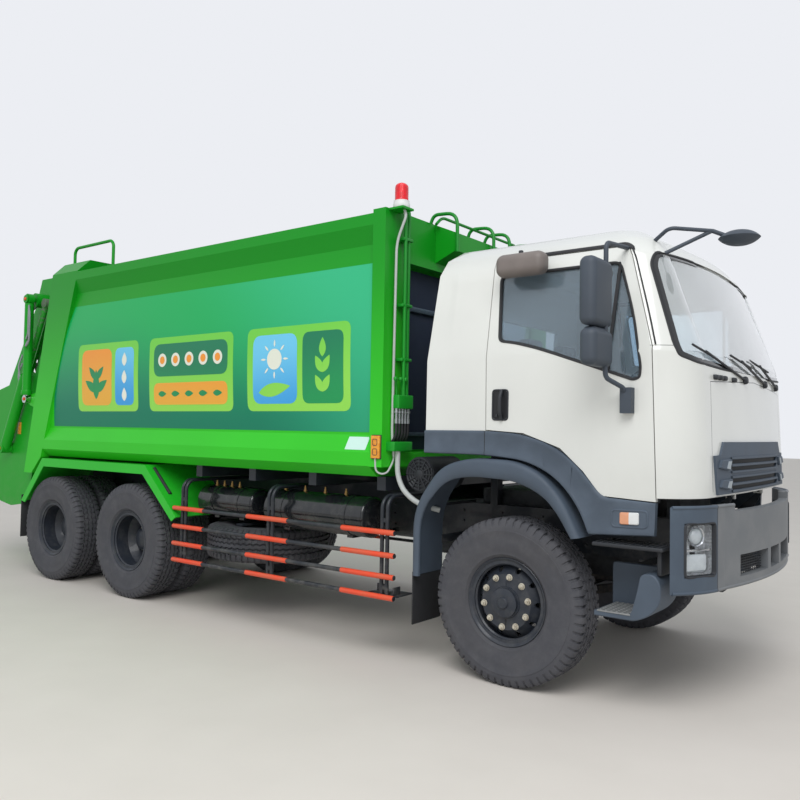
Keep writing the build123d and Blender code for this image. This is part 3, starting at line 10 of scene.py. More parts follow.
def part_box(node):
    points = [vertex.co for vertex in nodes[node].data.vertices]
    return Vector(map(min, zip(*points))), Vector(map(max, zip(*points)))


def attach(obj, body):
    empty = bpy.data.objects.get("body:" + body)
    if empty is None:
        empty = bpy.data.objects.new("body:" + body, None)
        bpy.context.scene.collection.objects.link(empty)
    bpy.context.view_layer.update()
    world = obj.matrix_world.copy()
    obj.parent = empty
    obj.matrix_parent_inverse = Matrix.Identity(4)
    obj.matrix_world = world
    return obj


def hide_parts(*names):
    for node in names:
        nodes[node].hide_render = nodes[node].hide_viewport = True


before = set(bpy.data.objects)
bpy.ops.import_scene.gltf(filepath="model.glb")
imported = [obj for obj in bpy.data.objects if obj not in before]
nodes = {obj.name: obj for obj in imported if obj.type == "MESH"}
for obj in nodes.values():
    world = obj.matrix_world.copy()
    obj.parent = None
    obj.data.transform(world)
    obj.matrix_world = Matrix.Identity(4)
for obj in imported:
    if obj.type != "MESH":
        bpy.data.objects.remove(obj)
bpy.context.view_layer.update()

# Camera
# It stands by the truck's right front corner at chest height, turned a little past the cab,
# and rolled by one degree. The photograph is square, so both sides share one focal length.
AXLE = 3.240
CAMERA_AT = Vector((2.6232 + AXLE, -5.7078, 1.6454))
CAMERA_TURN, CAMERA_PITCH, CAMERA_ROLL = (math.radians(a) for a in (37.6531, 2.1523, 0.9863))
FOCAL_SHARE = 797.37 / 800
SENSOR = 36.0

ahead = Vector((-math.sin(CAMERA_TURN) * math.cos(CAMERA_PITCH),
                math.cos(CAMERA_TURN) * math.cos(CAMERA_PITCH), math.sin(CAMERA_PITCH)))
level = ahead.cross(Vector((0, 0, 1))).normalized()
upward = level.cross(ahead)
right = level * math.cos(CAMERA_ROLL) + upward * math.sin(CAMERA_ROLL)
up = upward * math.cos(CAMERA_ROLL) - level * math.sin(CAMERA_ROLL)
camera_data = bpy.data.cameras.new("camera")
camera_data.lens, camera_data.sensor_width = FOCAL_SHARE * SENSOR, SENSOR
camera = bpy.data.objects.new("camera", camera_data)
camera.matrix_world = Matrix((right, up, -ahead)).transposed().to_4x4()
camera.location = CAMERA_AT
bpy.context.scene.collection.objects.link(camera)
bpy.context.scene.camera = camera


# Chassis
# Two pressed channel rails with their cross members, axles and springs, sprayed black and
# dulled by road dust. The engine and gearbox hang between the rails.
class Signal:
    """One output socket in a material; arithmetic on it adds Math nodes."""

    def __init__(self, finish, socket):
        self.finish, self.socket = finish, socket

    def math(self, operation, *others, clamp=False):
        inputs = dict(enumerate((self, *others)))
        return self.finish.node("ShaderNodeMath", inputs, operation=operation, use_clamp=clamp)

    def turned(self, operation, other):
        return self.finish.node("ShaderNodeMath", {0: other, 1: self}, operation=operation)

    def __add__(self, other):
        return self.math("ADD", other)

    def __sub__(self, other):
        return self.math("SUBTRACT", other)

    def __mul__(self, other):
        return self.math("MULTIPLY", other)

    def __truediv__(self, other):
        return self.math("DIVIDE", other)

    def __rsub__(self, other):
        return self.turned("SUBTRACT", other)

    def __rtruediv__(self, other):
        return self.turned("DIVIDE", other)

    def __gt__(self, other):
        return self.math("GREATER_THAN", other)

    def __lt__(self, other):
        return self.math("LESS_THAN", other)

    __radd__, __rmul__ = __add__, __mul__

    def ramp(self, low, high, to_low=0.0, to_high=1.0):
        """This signal from low to high, smoothed and held outside, as to_low to to_high."""
        inputs = {0: self, 1: low, 2: high, 3: to_low, 4: to_high}
        return self.finish.node("ShaderNodeMapRange", inputs, interpolation_type="SMOOTHSTEP")

    def line(self, at, width):
        """1 where this signal is within half a width of a value, and 0 elsewhere."""
        return (self - at).math("ABSOLUTE") < width / 2


class Finish:
    """One material: nodes on the object's own coordinates that feed a Principled shader."""

    def __init__(self, name):
        self.material = bpy.data.materials.new(name)
        self.material.use_nodes = True
        self.tree = self.material.node_tree
        self.tree.nodes.clear()
        self.place = self.node("ShaderNodeTexCoord", {}, out="Object")
        parts = self.node("ShaderNodeSeparateXYZ", {0: self.place}).socket.node.outputs
        self.x, self.y, self.z = (Signal(self, parts[axis]) for axis in "XYZ")

    def node(self, kind, inputs, out=0, **settings):
        made = self.tree.nodes.new(kind)
        for key, value in settings.items():
            setattr(made, key, value)
        for key, value in inputs.items():
            if isinstance(value, Signal):
                self.tree.links.new(value.socket, made.inputs[key])
            else:
                made.inputs[key].default_value = value
        return Signal(self, made.outputs[out])

    def noise(self, size, detail=3.0, rough=0.55, at=None):
        """Cloudy noise from 0 to 1 with lumps of about size metres."""
        inputs = {"Vector": at or self.place, "Scale": 1 / size, "Detail": detail,
                  "Roughness": rough}
        return self.node("ShaderNodeTexNoise", inputs)

    def stretched(self, x, y, z):
        """The place scaled by x, y and z, so that noise on it draws out into streaks."""
        return self.node("ShaderNodeVectorMath", {0: self.place, 1: (x, y, z)},
                         operation="MULTIPLY")

    def blend(self, mask, first, second):
        """The first colour where mask is 0 and the second where it is 1."""
        inputs = {0: mask}
        for key, colour in ((6, first), (7, second)):
            inputs[key] = colour if isinstance(colour, Signal) else (*colour, 1.0)
        return self.node("ShaderNodeMix", inputs, out=2, data_type="RGBA")

    def bump(self, height, depth, normal=None):
        """A normal that reads height from 0 to 1 as a relief of depth metres."""
        inputs = {"Height": height, "Distance": depth, "Strength": 1.0}
        if normal is not None:
            inputs["Normal"] = normal
        return self.node("ShaderNodeBump", inputs)

    def done(self, **sockets):
        """Feeds the shader; socket names are written in small letters with underscores."""
        shader = self.tree.nodes.new("ShaderNodeBsdfPrincipled")
        for key, value in sockets.items():
            socket = shader.inputs[key.replace("_", " ").title().replace("Ior", "IOR")]
            if isinstance(value, Signal):
                self.tree.links.new(value.socket, socket)
            else:
                socket.default_value = (*value, 1.0) if isinstance(value, tuple) else value
        output = self.tree.nodes.new("ShaderNodeOutputMaterial")
        self.tree.links.new(shader.outputs[0], output.inputs[0])
        return self.material


def linear(*shades):
    """A linear colour from display shades of 0 to 255."""
    return tuple(round(((s / 255 + 0.055) / 1.055) ** 2.4, 4) for s in shades)


def dress(material, names):
    """Gives a material to CAD nodes whose shape stays as it is."""
    for name in names.split():
        nodes[name].data.materials.clear()
        nodes[name].data.materials.append(material)


def enamel(name, shade, rough=0.28, dust=0.35, dust_top=1.0, coat=0.25, fade=None):
    """Sprayed paint: a faint orange peel, cloudy shade and road dust that thins with height.
    fade is a darker shade and the heights between which the first turns into it: painted shade."""
    f = Finish(name)
    base = linear(*shade)
    cloud = f.noise(0.9, 4.0)
    colour = f.blend(cloud.ramp(0.3, 0.7), base, tuple(c * 0.94 for c in base))
    if fade:
        # Painted shade: between the two heights the paint turns darker towards the top.
        upper, low, high = fade
        colour = f.blend(f.z.ramp(low, high), colour, linear(*upper))
    height = f.z.ramp(0.3, dust_top + 0.3, 1.0, 0.0)
    dirt = height * f.noise(0.12, 6.0, 0.7).ramp(0.4, 0.8) * dust
    colour = f.blend(dirt, colour, linear(150, 146, 138))
    peel = f.noise(0.006, 1.0)
    return f.done(base_color=colour, roughness=dirt * 0.5 + (cloud * 0.06 + rough),
                  normal=f.bump(peel, 0.00008), coat_weight=coat, coat_roughness=0.08,
                  specular_ior_level=0.3)


chassis_black = enamel("chassis_black", (36, 41, 48), 0.45, 0.45)
dress(chassis_black, "chassis_frame subframe front_axle rear_axles knuckle_right knuckle_left "
                     "track_rod side_guards")



def mottled(name, shades, grain, rough, relief=0.0, ramp=None, stretch=None, **sockets):
    """Two display shades mixed by noise. grain is the noise's size, detail and roughness, and
    rough is the material's own roughness and how much the noise adds to it. The noise may be
    stretched along the axes, held between the ends of a ramp, and stand out as a relief."""
    f = Finish(name)
    cloud = f.noise(*grain, at=stretch and f.stretched(*stretch))
    if relief:
        sockets["normal"] = f.bump(cloud, relief)
    mask = cloud.ramp(*ramp) if ramp else cloud
    return f.done(base_color=f.blend(mask, *(linear(*shade) for shade in shades)),
                  roughness=cloud * rough[1] + rough[0], **sockets)


leaf_steel = mottled("leaf_steel", ((42, 44, 48), (84, 78, 72)), (0.05, 6.0, 0.7), (0.5, 0.25),
                     0.0006, (0.35, 0.75), (1, 6, 1), metallic=0.4)
dress(leaf_steel, "springs")

f = Finish("cast_grey")
grit = f.noise(0.012, 5.0, 0.75)
grime = f.noise(0.2, 5.0)
cast_grey = f.done(
    base_color=f.blend(grime.ramp(0.35, 0.7), linear(72, 76, 80), linear(38, 38, 40)),
    roughness=grit * 0.2 + 0.6, metallic=0.3, normal=f.bump(grit, 0.0012))
dress(cast_grey, "engine_block radiator")


class Surface:
    """Grids of points gathered into one mesh. A grid has a row for each step of its first
    parameter and a column for each step of its second, and either may close on itself."""

    def __init__(self):
        self.points, self.faces, self.count = [], [], 0

    def grid(self, points, round_rows=False, round_columns=False, caps=False):
        rows, columns = points.shape[:2]
        row = np.arange(rows - (not round_rows))[:, None]
        column = np.arange(columns - (not round_columns))[None, :]
        beyond, beside = (row + 1) % rows, (column + 1) % columns
        quads = np.stack(np.broadcast_arrays(
            row * columns + column, beyond * columns + column,
            beyond * columns + beside, row * columns + beside), -1).reshape(-1, 4)
        self.points.append(points.reshape(-1, 3))
        self.faces += (quads + self.count).tolist()
        if caps:
            end = np.arange(columns) + self.count
            self.faces += [end[::-1].tolist(), (end + (rows - 1) * columns).tolist()]
        self.count += rows * columns
        return self

    def close(self, rows, columns):
        """Closes the last grid's first and last column with a face each."""
        start = self.count - rows * columns
        self.faces += [[start + row * columns + end for row in range(rows)]
                       for end in (0, columns - 1)]

    def piece(self, name, body, slot, material, replaces=(), sharp=35, sheet=False):
        """Joins doubled points, turns faces outwards and sets the piece on its body. A sheet
        is open, so its faces keep the way that its grid gave them."""
        mesh = bpy.data.meshes.new(name)
        mesh.from_pydata(np.concatenate(self.points), [], self.faces)
        shape = bmesh.new()
        shape.from_mesh(mesh)
        bmesh.ops.remove_doubles(shape, verts=shape.verts, dist=2e-6)
        if not sheet:
            bmesh.ops.recalc_face_normals(shape, faces=shape.faces)
        shape.to_mesh(mesh)
        shape.free()
        mesh.shade_smooth()
        mesh.set_sharp_from_angle(angle=math.radians(sharp))
        mesh.materials.append(material)
        made = bpy.data.objects.new(name, mesh)
        bpy.context.scene.collection.objects.link(made)
        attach(made, body)
        if replaces:
            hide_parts(replaces)
        return made


def unit(vectors):
    """Vectors divided by their lengths."""
    return vectors / np.linalg.norm(vectors, axis=-1, keepdims=True)


def lathe(surface, profile, centre, axis, steps, **more):
    """Adds a profile of (radius, distance along the axis) turned about the axis: centre plus
    distance × axis plus radius × (cos turn × first + sin turn × second), where first and
    second stand square to the axis. Columns go round."""
    profile, axis = np.asarray(profile, float), unit(np.asarray(axis, float))
    aside = (0, 0, 1) if abs(axis[2]) < 0.9 else (1, 0, 0)
    first = unit(np.cross(axis, aside))
    second = np.cross(axis, first)
    turn = np.linspace(0, 2 * np.pi, steps, endpoint=False)[None, :, None]
    ring = np.cos(turn) * first + np.sin(turn) * second
    surface.grid(np.asarray(centre) + profile[:, 1, None, None] * axis
                 + profile[:, :1, None] * ring, round_columns=True, **more)


RAIL_SIDE = 0.425
RAIL_BOLT = [(0.0, 0.012), (0.008, 0.012), (0.011, 0.009), (0.011, 0.0), (0.0, 0.0)]
rail_bolts = Surface()
for side in (-1, 1):
    for along in np.arange(-5.9, 0.9, 0.34):
        for height in (0.86, 0.95, 1.03):
            lathe(rail_bolts, RAIL_BOLT, (AXLE + along, side * RAIL_SIDE, height), (0, side, 0), 6)
rail_bolts.piece("rail_bolts", "chassis", "frame_paint", chassis_black)

# Tyres
# Steel belted tyres of coarse black rubber with four zigzag grooves and a slot across each
# shoulder. They are drawn over the rims, and the tread is pale with dust between its lugs.
WHEEL_Z = 0.5425
PITCHES = 60
RIB_EDGES, TREAD_HALF = (0.029, 0.056), 0.08
ZIGZAG, NOTCH = 0.005, 0.005
FIRST_REAR, SECOND_REAR = AXLE - 4.115, AXLE - 5.485
# Half of a section: distance from the middle, radius, groove, shoulder slot, slot inwards
HALF_SECTION = np.array([
    (0.0135, 0.5425, 0, 0, 0), (0.0155, 0.5425, 0.017, 0, 0), (0.0275, 0.5425, 0.017, 0, 0),
    (0.0295, 0.5425, 0, 0, 0), (0.0555, 0.5424, 0, 0, 0), (0.0575, 0.5424, 0.017, 0, 0),
    (0.0705, 0.5423, 0.017, 0, 0), (0.0725, 0.5423, 0, 0, 0), (0.0760, 0.5422, 0, 0, 0),
    (0.0780, 0.5421, 0, 0.013, 0), (0.1085, 0.5415, 0, 0.012, 0), (0.1180, 0.5372, 0, 0.011, 0),
    (0.1268, 0.5300, 0, 0.010, 0.003), (0.1330, 0.5165, 0, 0.008, 0.006),
    (0.1380, 0.5010, 0, 0.002, 0.005), (0.1412, 0.4900, 0, 0, 0), (0.1428, 0.4800, 0, 0, 0),
    (0.1432, 0.4660, 0, 0, 0), (0.1462, 0.4630, 0, 0, 0), (0.1460, 0.4520, 0, 0, 0),
    (0.1445, 0.4480, 0, 0, 0), (0.1465, 0.4060, 0, 0, 0), (0.1440, 0.3700, 0, 0, 0),
    (0.1385, 0.3360, 0, 0, 0), (0.1330, 0.3180, 0, 0, 0), (0.1330, 0.3080, 0, 0, 0),
    (0.1240, 0.2960, 0, 0, 0), (0.1130, 0.2860, 0, 0, 0),
])


def tyre(centre, flat=False):
    """A tyre's surface. At each turn of the wheel the section's radius loses the groove's
    depth, and in the slot's rows the slot's depth as well. The grooves lie on a cosine wave,
    one wave to a pitch. A flat tyre lies on its side."""
    mirror = HALF_SECTION[::-1] * (-1, 1, 1, 1, 1)
    section = np.concatenate([mirror, HALF_SECTION])
    share = np.array([0, 0.05, 0.30, 0.35, 0.52, 0.56, 0.78, 0.82])
    turn = (2 * np.pi * (np.arange(PITCHES)[:, None] + share) / PITCHES).reshape(-1, 1)
    slot = np.tile([0, 1, 1, 0, 0, 0, 0, 0], PITCHES)[:, None]
    notch = np.tile([0, 0, 0, 0, 0, 1, 1, 0], PITCHES)[:, None]
    width, radius, groove, shoulder, inwards = section.T
    ribs = (np.abs(width) > RIB_EDGES[0]) & (np.abs(width) < RIB_EDGES[1])
    wave = ZIGZAG * np.cos(PITCHES * turn) * (np.abs(width) < TREAD_HALF)
    across = width + wave - np.sign(width) * inwards * slot
    reach = radius - groove - shoulder * slot - NOTCH * notch * ribs
    ring = (reach * np.sin(turn), across, reach * np.cos(turn))
    if flat:
        ring = (ring[0], ring[2], ring[1])
    return np.asarray(centre) + np.stack(np.broadcast_arrays(*ring), -1)


f = Finish("tyre_rubber")
grain = f.noise(0.0022, 2.0)
dust = f.noise(0.10, 6.0, 0.7)
smear = f.noise(0.5, 3.0)
rubber = f.blend(dust.ramp(0.3, 0.85), linear(66, 67, 73), linear(84, 84, 88))
tyre_rubber = f.done(base_color=f.blend(smear.ramp(0.4, 0.7, 0.0, 0.25), rubber,
                                        linear(72, 70, 70)),
                     roughness=dust * 0.2 + 0.68, normal=f.bump(grain, 0.0003))

SIDES = ((-1, "right"), (1, "left"))
FRONT_HALF_TRACK, REAR_HALF_TRACK, PAIR = 1.030, 0.925, (-0.161, 0.161)
WHEELS = {f"{node}_{name}": (f"{body}_{name}", wheel_x, side * half_track, rows)
          for node, body, wheel_x, half_track, rows in (
              ("wheel_front", "front_wheel", AXLE, FRONT_HALF_TRACK, (0.0,)),
              ("wheels_rear_first", "rear_first", FIRST_REAR, REAR_HALF_TRACK, PAIR),
              ("wheels_rear_second", "rear_second", SECOND_REAR, REAR_HALF_TRACK, PAIR))
          for side, name in SIDES}
for node, (body, wheel_x, wheel_y, rows) in WHEELS.items():
    tread = Surface()
    for row in rows:
        tread.grid(tyre((wheel_x, wheel_y + row, WHEEL_Z)), round_rows=True, round_columns=True)
    tread.piece(node.replace("wheel", "tyre"), body, "wheel", tyre_rubber, node, sharp=28)
SPARE_MIDDLE = [(a + b) / 2 for a, b in zip(*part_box("spare_wheel"))]
spare_tyre = Surface().grid(tyre(SPARE_MIDDLE, True), round_rows=True, round_columns=True)
spare_tyre.piece("spare_tyre", "chassis", "wheel", tyre_rubber, "spare_wheel", sharp=28)

# Rims and hubs
# Ten-hole steel discs pressed into their rims, sprayed satin black. The front hubs are
# ribbed castings, and bright nuts hold every disc.
rim_black = enamel("rim_black", (44, 49, 58), 0.42, 0.16, 1.2, 0.2)
RIM_REACH = 0.28


def merged_copy(node):
    """A solid's points and triangles, with its doubled points joined."""
    shape = bmesh.new()
    shape.from_mesh(nodes[node].data)
    bmesh.ops.remove_doubles(shape, verts=shape.verts, dist=1e-5)
    bmesh.ops.triangulate(shape, faces=shape.faces)
    merged = bpy.data.meshes.new(node + "_copy")
    shape.to_mesh(merged)
    shape.free()
    points = np.empty(len(merged.vertices) * 3)
    merged.vertices.foreach_get("co", points)
    points = points.reshape(-1, 3)
    corners = np.empty(len(merged.loops), int)
    merged.loops.foreach_get("vertex_index", corners)
    bpy.data.meshes.remove(merged)
    return points, corners.reshape(-1, 3)


def rim_solids(node, centre, across, least=0.0):
    """The triangles of the node's solids that reach less than RIM_REACH from the axis: points
    joined by edges take the lowest number among them until nothing changes, and each such
    island keeps its largest radius."""
    points, corners = merged_copy(node)
    island = np.arange(len(points))
    while True:
        lowest = island[corners].min(axis=1)
        spread = island.copy()
        for corner in range(3):
            np.minimum.at(spread, corners[:, corner], lowest)
        spread = spread[spread]
        if (spread == island).all():
            break
        island = spread
    radius = np.linalg.norm(np.delete(points - centre, across, axis=1), axis=1)
    reach = np.zeros(len(points))
    np.maximum.at(reach, island, radius)
    kept = (reach[island] < RIM_REACH) & (reach[island] > least)
    return points, corners[kept[corners].all(axis=1)]


def add_triangles(surface, points, corners):
    """Adds loose triangles to a surface."""
    used, numbers = np.unique(corners, return_inverse=True)
    surface.points.append(points[used])
    surface.faces += (numbers.reshape(-1, 3) + surface.count).tolist()
    surface.count += len(used)


def spoke(turn):
    """The direction square to an axle at a turn."""
    return np.array((math.cos(turn), 0, math.sin(turn)))


def fin(surface, centre, way, turn, corners, half):
    """Adds a flat fin that stands out from an axle at a turn. Its corners are distances out
    and along the way, and half is half its thickness."""
    corners = np.asarray(corners)
    thick = np.array((-math.sin(turn), 0, math.cos(turn))) * half
    face = centre + corners[:, :1] * spoke(turn) + corners[:, 1:] * way
    surface.grid(np.stack([face - thick, face + thick]), round_columns=True, caps=True)


HUB_FIN, HUB_FIN_HALF = ((0.050, 0.126), (0.050, 0.146), (0.088, 0.131), (0.090, 0.124)), 0.0045
FRONT_HUB = [(0, 0.172), (0.032, 0.172), (0.038, 0.166), (0.042, 0.150), (0.050, 0.146),
             (0.054, 0.134), (0.088, 0.126), (0.100, 0.126), (0.104, 0.118), (0.104, 0.104),
             (0.110, 0.030), (0.188, 0.020), (0.188, -0.050), (0.0456, -0.050),
             (0.0456, 0.114), (0, 0.114)]
NUT = [(0.0, 0.030), (0.008, 0.030), (0.009, 0.027), (0.009, 0.020), (0.0155, 0.019),
       (0.018, 0.015), (0.018, 0.005), (0.022, 0.004), (0.022, 0.0), (0.0, 0.0)]
NUT_RING = 0.1635
HUB_LEAST, FRONT_FACE, REAR_FACE = 0.2, 0.118, 0.0125
FLANGE = [(0.236, 0.088), (0.250, 0.100), (0.262, 0.106), (0.272, 0.113), (0.279, 0.120),
          (0.283, 0.1215), (0.286, 0.119), (0.2855, 0.108), (0.276, 0.098), (0.262, 0.090),
          (0.236, 0.082)]

plated_nut = mottled("plated_nut", ((206, 200, 184), (150, 138, 118)), (0.02, 5.0, 0.7),
                     (0.35, 0.2), 0.0004, (0.4, 0.75), metallic=0.35)
nut_turns = np.radians(np.arange(10) * 36 + 9)
for node, (body, wheel_x, wheel_y, rows) in WHEELS.items():
    side = np.sign(wheel_y)
    front = len(rows) == 1
    middle = np.array((wheel_x, wheel_y, WHEEL_Z))
    rim = Surface()
    add_triangles(rim, *rim_solids(node, middle, 1, HUB_LEAST if front else 0.0))
    face = FRONT_FACE if front else REAR_FACE
    if front:
        lathe(rim, FRONT_HUB, middle, (0, side, 0), 48, round_rows=True)
        for turn in nut_turns + math.radians(18):
            fin(rim, middle, (0, side, 0), turn, HUB_FIN, HUB_FIN_HALF)
    for row in rows:
        for way in (-1, 1):
            lathe(rim, FLANGE, middle + (0, row, 0), (0, way, 0), 64, round_rows=True)
    rim.piece(node.replace("wheel", "rim"), body, "wheel", rim_black, node, sharp=32)
    nuts = Surface()
    for turn in nut_turns:
        lathe(nuts, NUT, middle + NUT_RING * spoke(turn) + (0, side * face, 0), (0, side, 0), 12)
    nuts.piece(node.replace("wheel", "nuts"), body, "wheel", plated_nut, sharp=40)
spare_rim = Surface()
add_triangles(spare_rim, *rim_solids("spare_wheel", np.array(SPARE_MIDDLE), 2))
for way in (-1, 1):
    lathe(spare_rim, FLANGE, SPARE_MIDDLE, (0, 0, way), 64, round_rows=True)
spare_rim.piece("spare_rim", "chassis", "wheel", rim_black, "spare_wheel")

# Air tanks, fuel tank and side boxes
# Rolled steel drums with pressed domes, in glossy black, on two straps each. Brass drain and
# pipe fittings stand on top.
tank_black = enamel("tank_black", (26, 29, 33), 0.16, 0.5, 1.0, 0.6)
dress(tank_black, "air_tanks")
dress(chassis_black, "side_boxes")
fuel_alloy = mottled("fuel_tank_alloy", ((120, 124, 128), (150, 153, 156)), (0.01, 4.0, 0.6),
                     (0.3, 0.2), 0.0002, stretch=(0.06, 1, 1), metallic=0.8)
dress(fuel_alloy, "fuel_tank")
brass = mottled("brass", ((196, 158, 96), (140, 112, 70)), (0.01, 4.0), (0.3, 0.2), metallic=0.8)
TANKS = ((-3.290, -2.5995, 0.975, 0.137, -0.900), (-2.3395, -1.288, 0.972, 0.158, -0.950))
DOME_SHARE, DOME_DEEP = 0.985, 0.036


def dome(radius, rise, steps, foot=0.0):
    """Half of an ellipse's outline, from its rim up to its middle."""
    return [(radius * math.cos(t), foot + rise * math.sin(t))
            for t in np.linspace(0, np.pi / 2, steps)]


tank_ends, tank_fittings = Surface(), Surface()
for rear, front, height, radius, across in TANKS:
    inner = radius * DOME_SHARE
    for end, way in ((rear, -1), (front, 1)):
        lathe(tank_ends, [(inner, -0.01)] + dome(inner, DOME_DEEP, 7),
              (AXLE + end, across, height), (way, 0, 0), 40, caps=True)
    loop = [(radius - 0.004, -0.022), (radius + 0.004, -0.022), (radius + 0.006, 0),
            (radius + 0.004, 0.022), (radius - 0.004, 0.022)]
    for along in (rear + 0.18, front - 0.18):
        lathe(tank_ends, loop, (AXLE + along, across, height), (1, 0, 0), 40, round_rows=True)
    for along in np.linspace(rear + 0.1, front - 0.28, 4):
        foot = (AXLE + along, across, height + radius - 0.006)
        lathe(tank_fittings, [(0.016, 0), (0.016, 0.014), (0.011, 0.016), (0.011, 0.034),
                              (0.007, 0.036), (0.007, 0.050)], foot, (0, 0, 1), 12, caps=True)
tank_ends.piece("tank_ends", "chassis", "frame_paint", tank_black)
tank_fittings.piece("tank_fittings", "chassis", "frame_paint", brass)


# Air cleaner
# A blow moulded black plastic drum on a bracket behind the cab, with a louvred intake of rings
# and ribs on its face.
PEBBLE, PEBBLE_DEEP = 0.0016, 0.000108


def plastic(name, shade, rough=0.55):
    """Moulded plastic with a fine pebbled grain, paler where dust has settled."""
    f = Finish(name)
    base = linear(*shade)
    cloud = f.noise(0.25, 5.0)
    colour = f.blend(cloud.ramp(0.35, 0.75), base, tuple(c * 1.2 for c in base))
    pebbles = f.node("ShaderNodeTexVoronoi", {"Vector": f.place, "Scale": 1 / PEBBLE})
    return f.done(base_color=colour, roughness=cloud * 0.15 + rough,
                  normal=f.bump(pebbles, PEBBLE_DEEP))


black_plastic = plastic("black_plastic", (36, 39, 44), 0.5)
dress(black_plastic, "air_cleaner")
INTAKE_AT = np.array((AXLE - 0.770, -1.060, 1.330))
INTAKE_FIN, INTAKE_FIN_HALF = ((0.030, 0), (0.116, 0), (0.116, 0.013), (0.030, 0.013)), 0.004
intake = Surface()
for radius in (0.118, 0.094, 0.070, 0.046):
    lathe(intake, [(radius, -0.004), (radius, 0.008), (radius - 0.006, 0.010),
                   (radius - 0.012, 0.004), (radius - 0.012, -0.004)], INTAKE_AT, (0, -1, 0), 40,
          round_rows=True)
for turn in np.arange(12) * np.pi / 6:
    fin(intake, INTAKE_AT, (0, -1, 0), turn, INTAKE_FIN, INTAKE_FIN_HALF)
lathe(intake, [(0.034, -0.004), (0.034, 0.010), (0.026, 0.015), (0, 0.016)], INTAKE_AT,
      (0, -1, 0), 32)
intake.piece("intake_louvres", "chassis", "dark_plastic", black_plastic)


# Side guards
# Four round bars a side on bent tube posts, all black, with orange reflective sleeves pushed
# on over the bars at their middle and both ends.
def rod(surface, path, radius, sides, up=(0, 0, 1), caps=True):
    """Adds a circle carried along a path: the path's point plus radius × (cos turn × side +
    sin turn × rise), where side and rise stand square to the way the path goes."""
    path = np.asarray(path, float)
    way = unit(np.gradient(path, axis=0))
    side = unit(np.cross(way, up))
    rise = np.cross(side, way)
    turn = np.linspace(0, 2 * np.pi, sides, endpoint=False)[None, :, None]
    ring = np.cos(turn) * side[:, None] + np.sin(turn) * rise[:, None]
    surface.grid(path[:, None] + np.reshape(radius, (-1, 1, 1)) * ring, round_columns=True,
                 caps=caps)


f = Finish("orange_sleeve")
faded = f.noise(0.15, 5.0)
fleck = f.noise(0.004, 2.0)
orange_sleeve = f.done(base_color=f.blend(faded.ramp(0.35, 0.7), linear(232, 76, 42),
                                          linear(214, 92, 60)),
                       roughness=fleck * 0.15 + 0.35, normal=f.bump(fleck, 0.0002))
SLEEVES = ((-3.383, -2.968), (-2.407, -1.932), (-1.359, -0.860))
sleeves = Surface()
for side in (-1, 1):
    for height in (0.453, 0.599, 0.752, 0.913):
        for rear, front in SLEEVES:
            along = np.array((rear, rear + 0.002, rear + 0.004, front - 0.004, front - 0.002,
                              front))
            path = np.stack([AXLE + along, np.full(6, side * 1.230), np.full(6, height)], -1)
            rod(sleeves, path, (0.0165, 0.0192, 0.0198, 0.0198, 0.0192, 0.0165), 18)
sleeves.piece("guard_sleeves", "chassis", "dark_plastic", orange_sleeve)


def block(surface, one, other, corner, steps=3, start=AXLE):
    """Adds a ball's surface, split at its middle planes and pushed out to a box's faces:
    centre plus sign × (half size − corner) plus corner × direction. The box lies between two
    corners in any order, whose first number counts from start."""
    low, high = np.minimum(one, other), np.maximum(one, other)
    quarter = np.linspace(0, np.pi / 2, steps + 1)
    turn = np.concatenate([quarter + k * np.pi / 2 for k in range(4)])[None, :]
    rise = np.concatenate([quarter - np.pi / 2, quarter])[:, None]
    sign = np.stack(np.broadcast_arrays(np.repeat((1, -1, -1, 1), steps + 1)[None, :],
                                        np.repeat((1, 1, -1, -1), steps + 1)[None, :],
                                        np.repeat((-1, 1), steps + 1)[:, None]), -1)
    way = np.stack(np.broadcast_arrays(np.cos(rise) * np.cos(turn), np.cos(rise) * np.sin(turn),
                                       np.sin(rise)), -1)
    surface.grid((low + high) / 2 + (start, 0, 0) + sign * ((high - low) / 2 - corner)
                 + corner * way, round_columns=True, caps=True)
    return surface


def blocks(rows, corner, steps=2, start=AXLE):
    """A surface of rounded blocks between pairs of corners."""
    made = Surface()
    for one, other in rows:
        block(made, one, other, corner, steps, start)
    return made


guard_step = blocks([((-1.14, -1.190, 0.452), (-0.86, -1.000, 0.462)),
                     ((-1.12, -1.096, 0.460), (-1.03, -1.088, 0.515)),
                     ((-0.90, -1.190, 0.452), (-0.89, -1.110, 0.520))], 0.003)
guard_step.piece("guard_step", "chassis", "dark_plastic", chassis_black)

# Rear fenders
# Folded sheet over both rear wheels in the body's green, with a black rubber strip glued
# along the front slope.
# Painted shade: the body's green darkens from 1.5 m up to 3.2 m.
body_green = enamel("body_green", (50, 198, 36), 0.36, 0.15, 1.2, 0.0, ((8, 142, 24), 1.5, 3.2))
dress(body_green, "body_shell front_frame rear_frame roof_rails")
fender_green = enamel("fender_green", (40, 190, 44), 0.36, 0.3, 1.0, 0.1)
dress(fender_green, "fenders")
black_rubber = mottled("black_rubber", ((24, 25, 28), (46, 47, 50)), (0.03, 5.0), (0.6, 0.15),
                       0.0003)


def lay(points, across):
    """Side view points from the front axle, at a distance across the truck."""
    return np.stack(np.broadcast_arrays(AXLE + points[:, 0], across, points[:, 1]), -1)


fender_strip = Surface()
for side in (-1, 1):
    top, foot = np.array((-3.835, 1.280)), np.array((-3.330, 0.834))
    way = (foot - top) / np.linalg.norm(foot - top)
    out = np.array((-way[1], way[0]))
    line = top + way * np.linspace(0.06, 0.40, 12)[:, None] + out * 0.010
    rod(fender_strip, lay(line, side * 1.165), 0.017, 12, (0, 1, 0))
fender_strip.piece("fender_strips", "chassis", "dark_plastic", black_rubber)


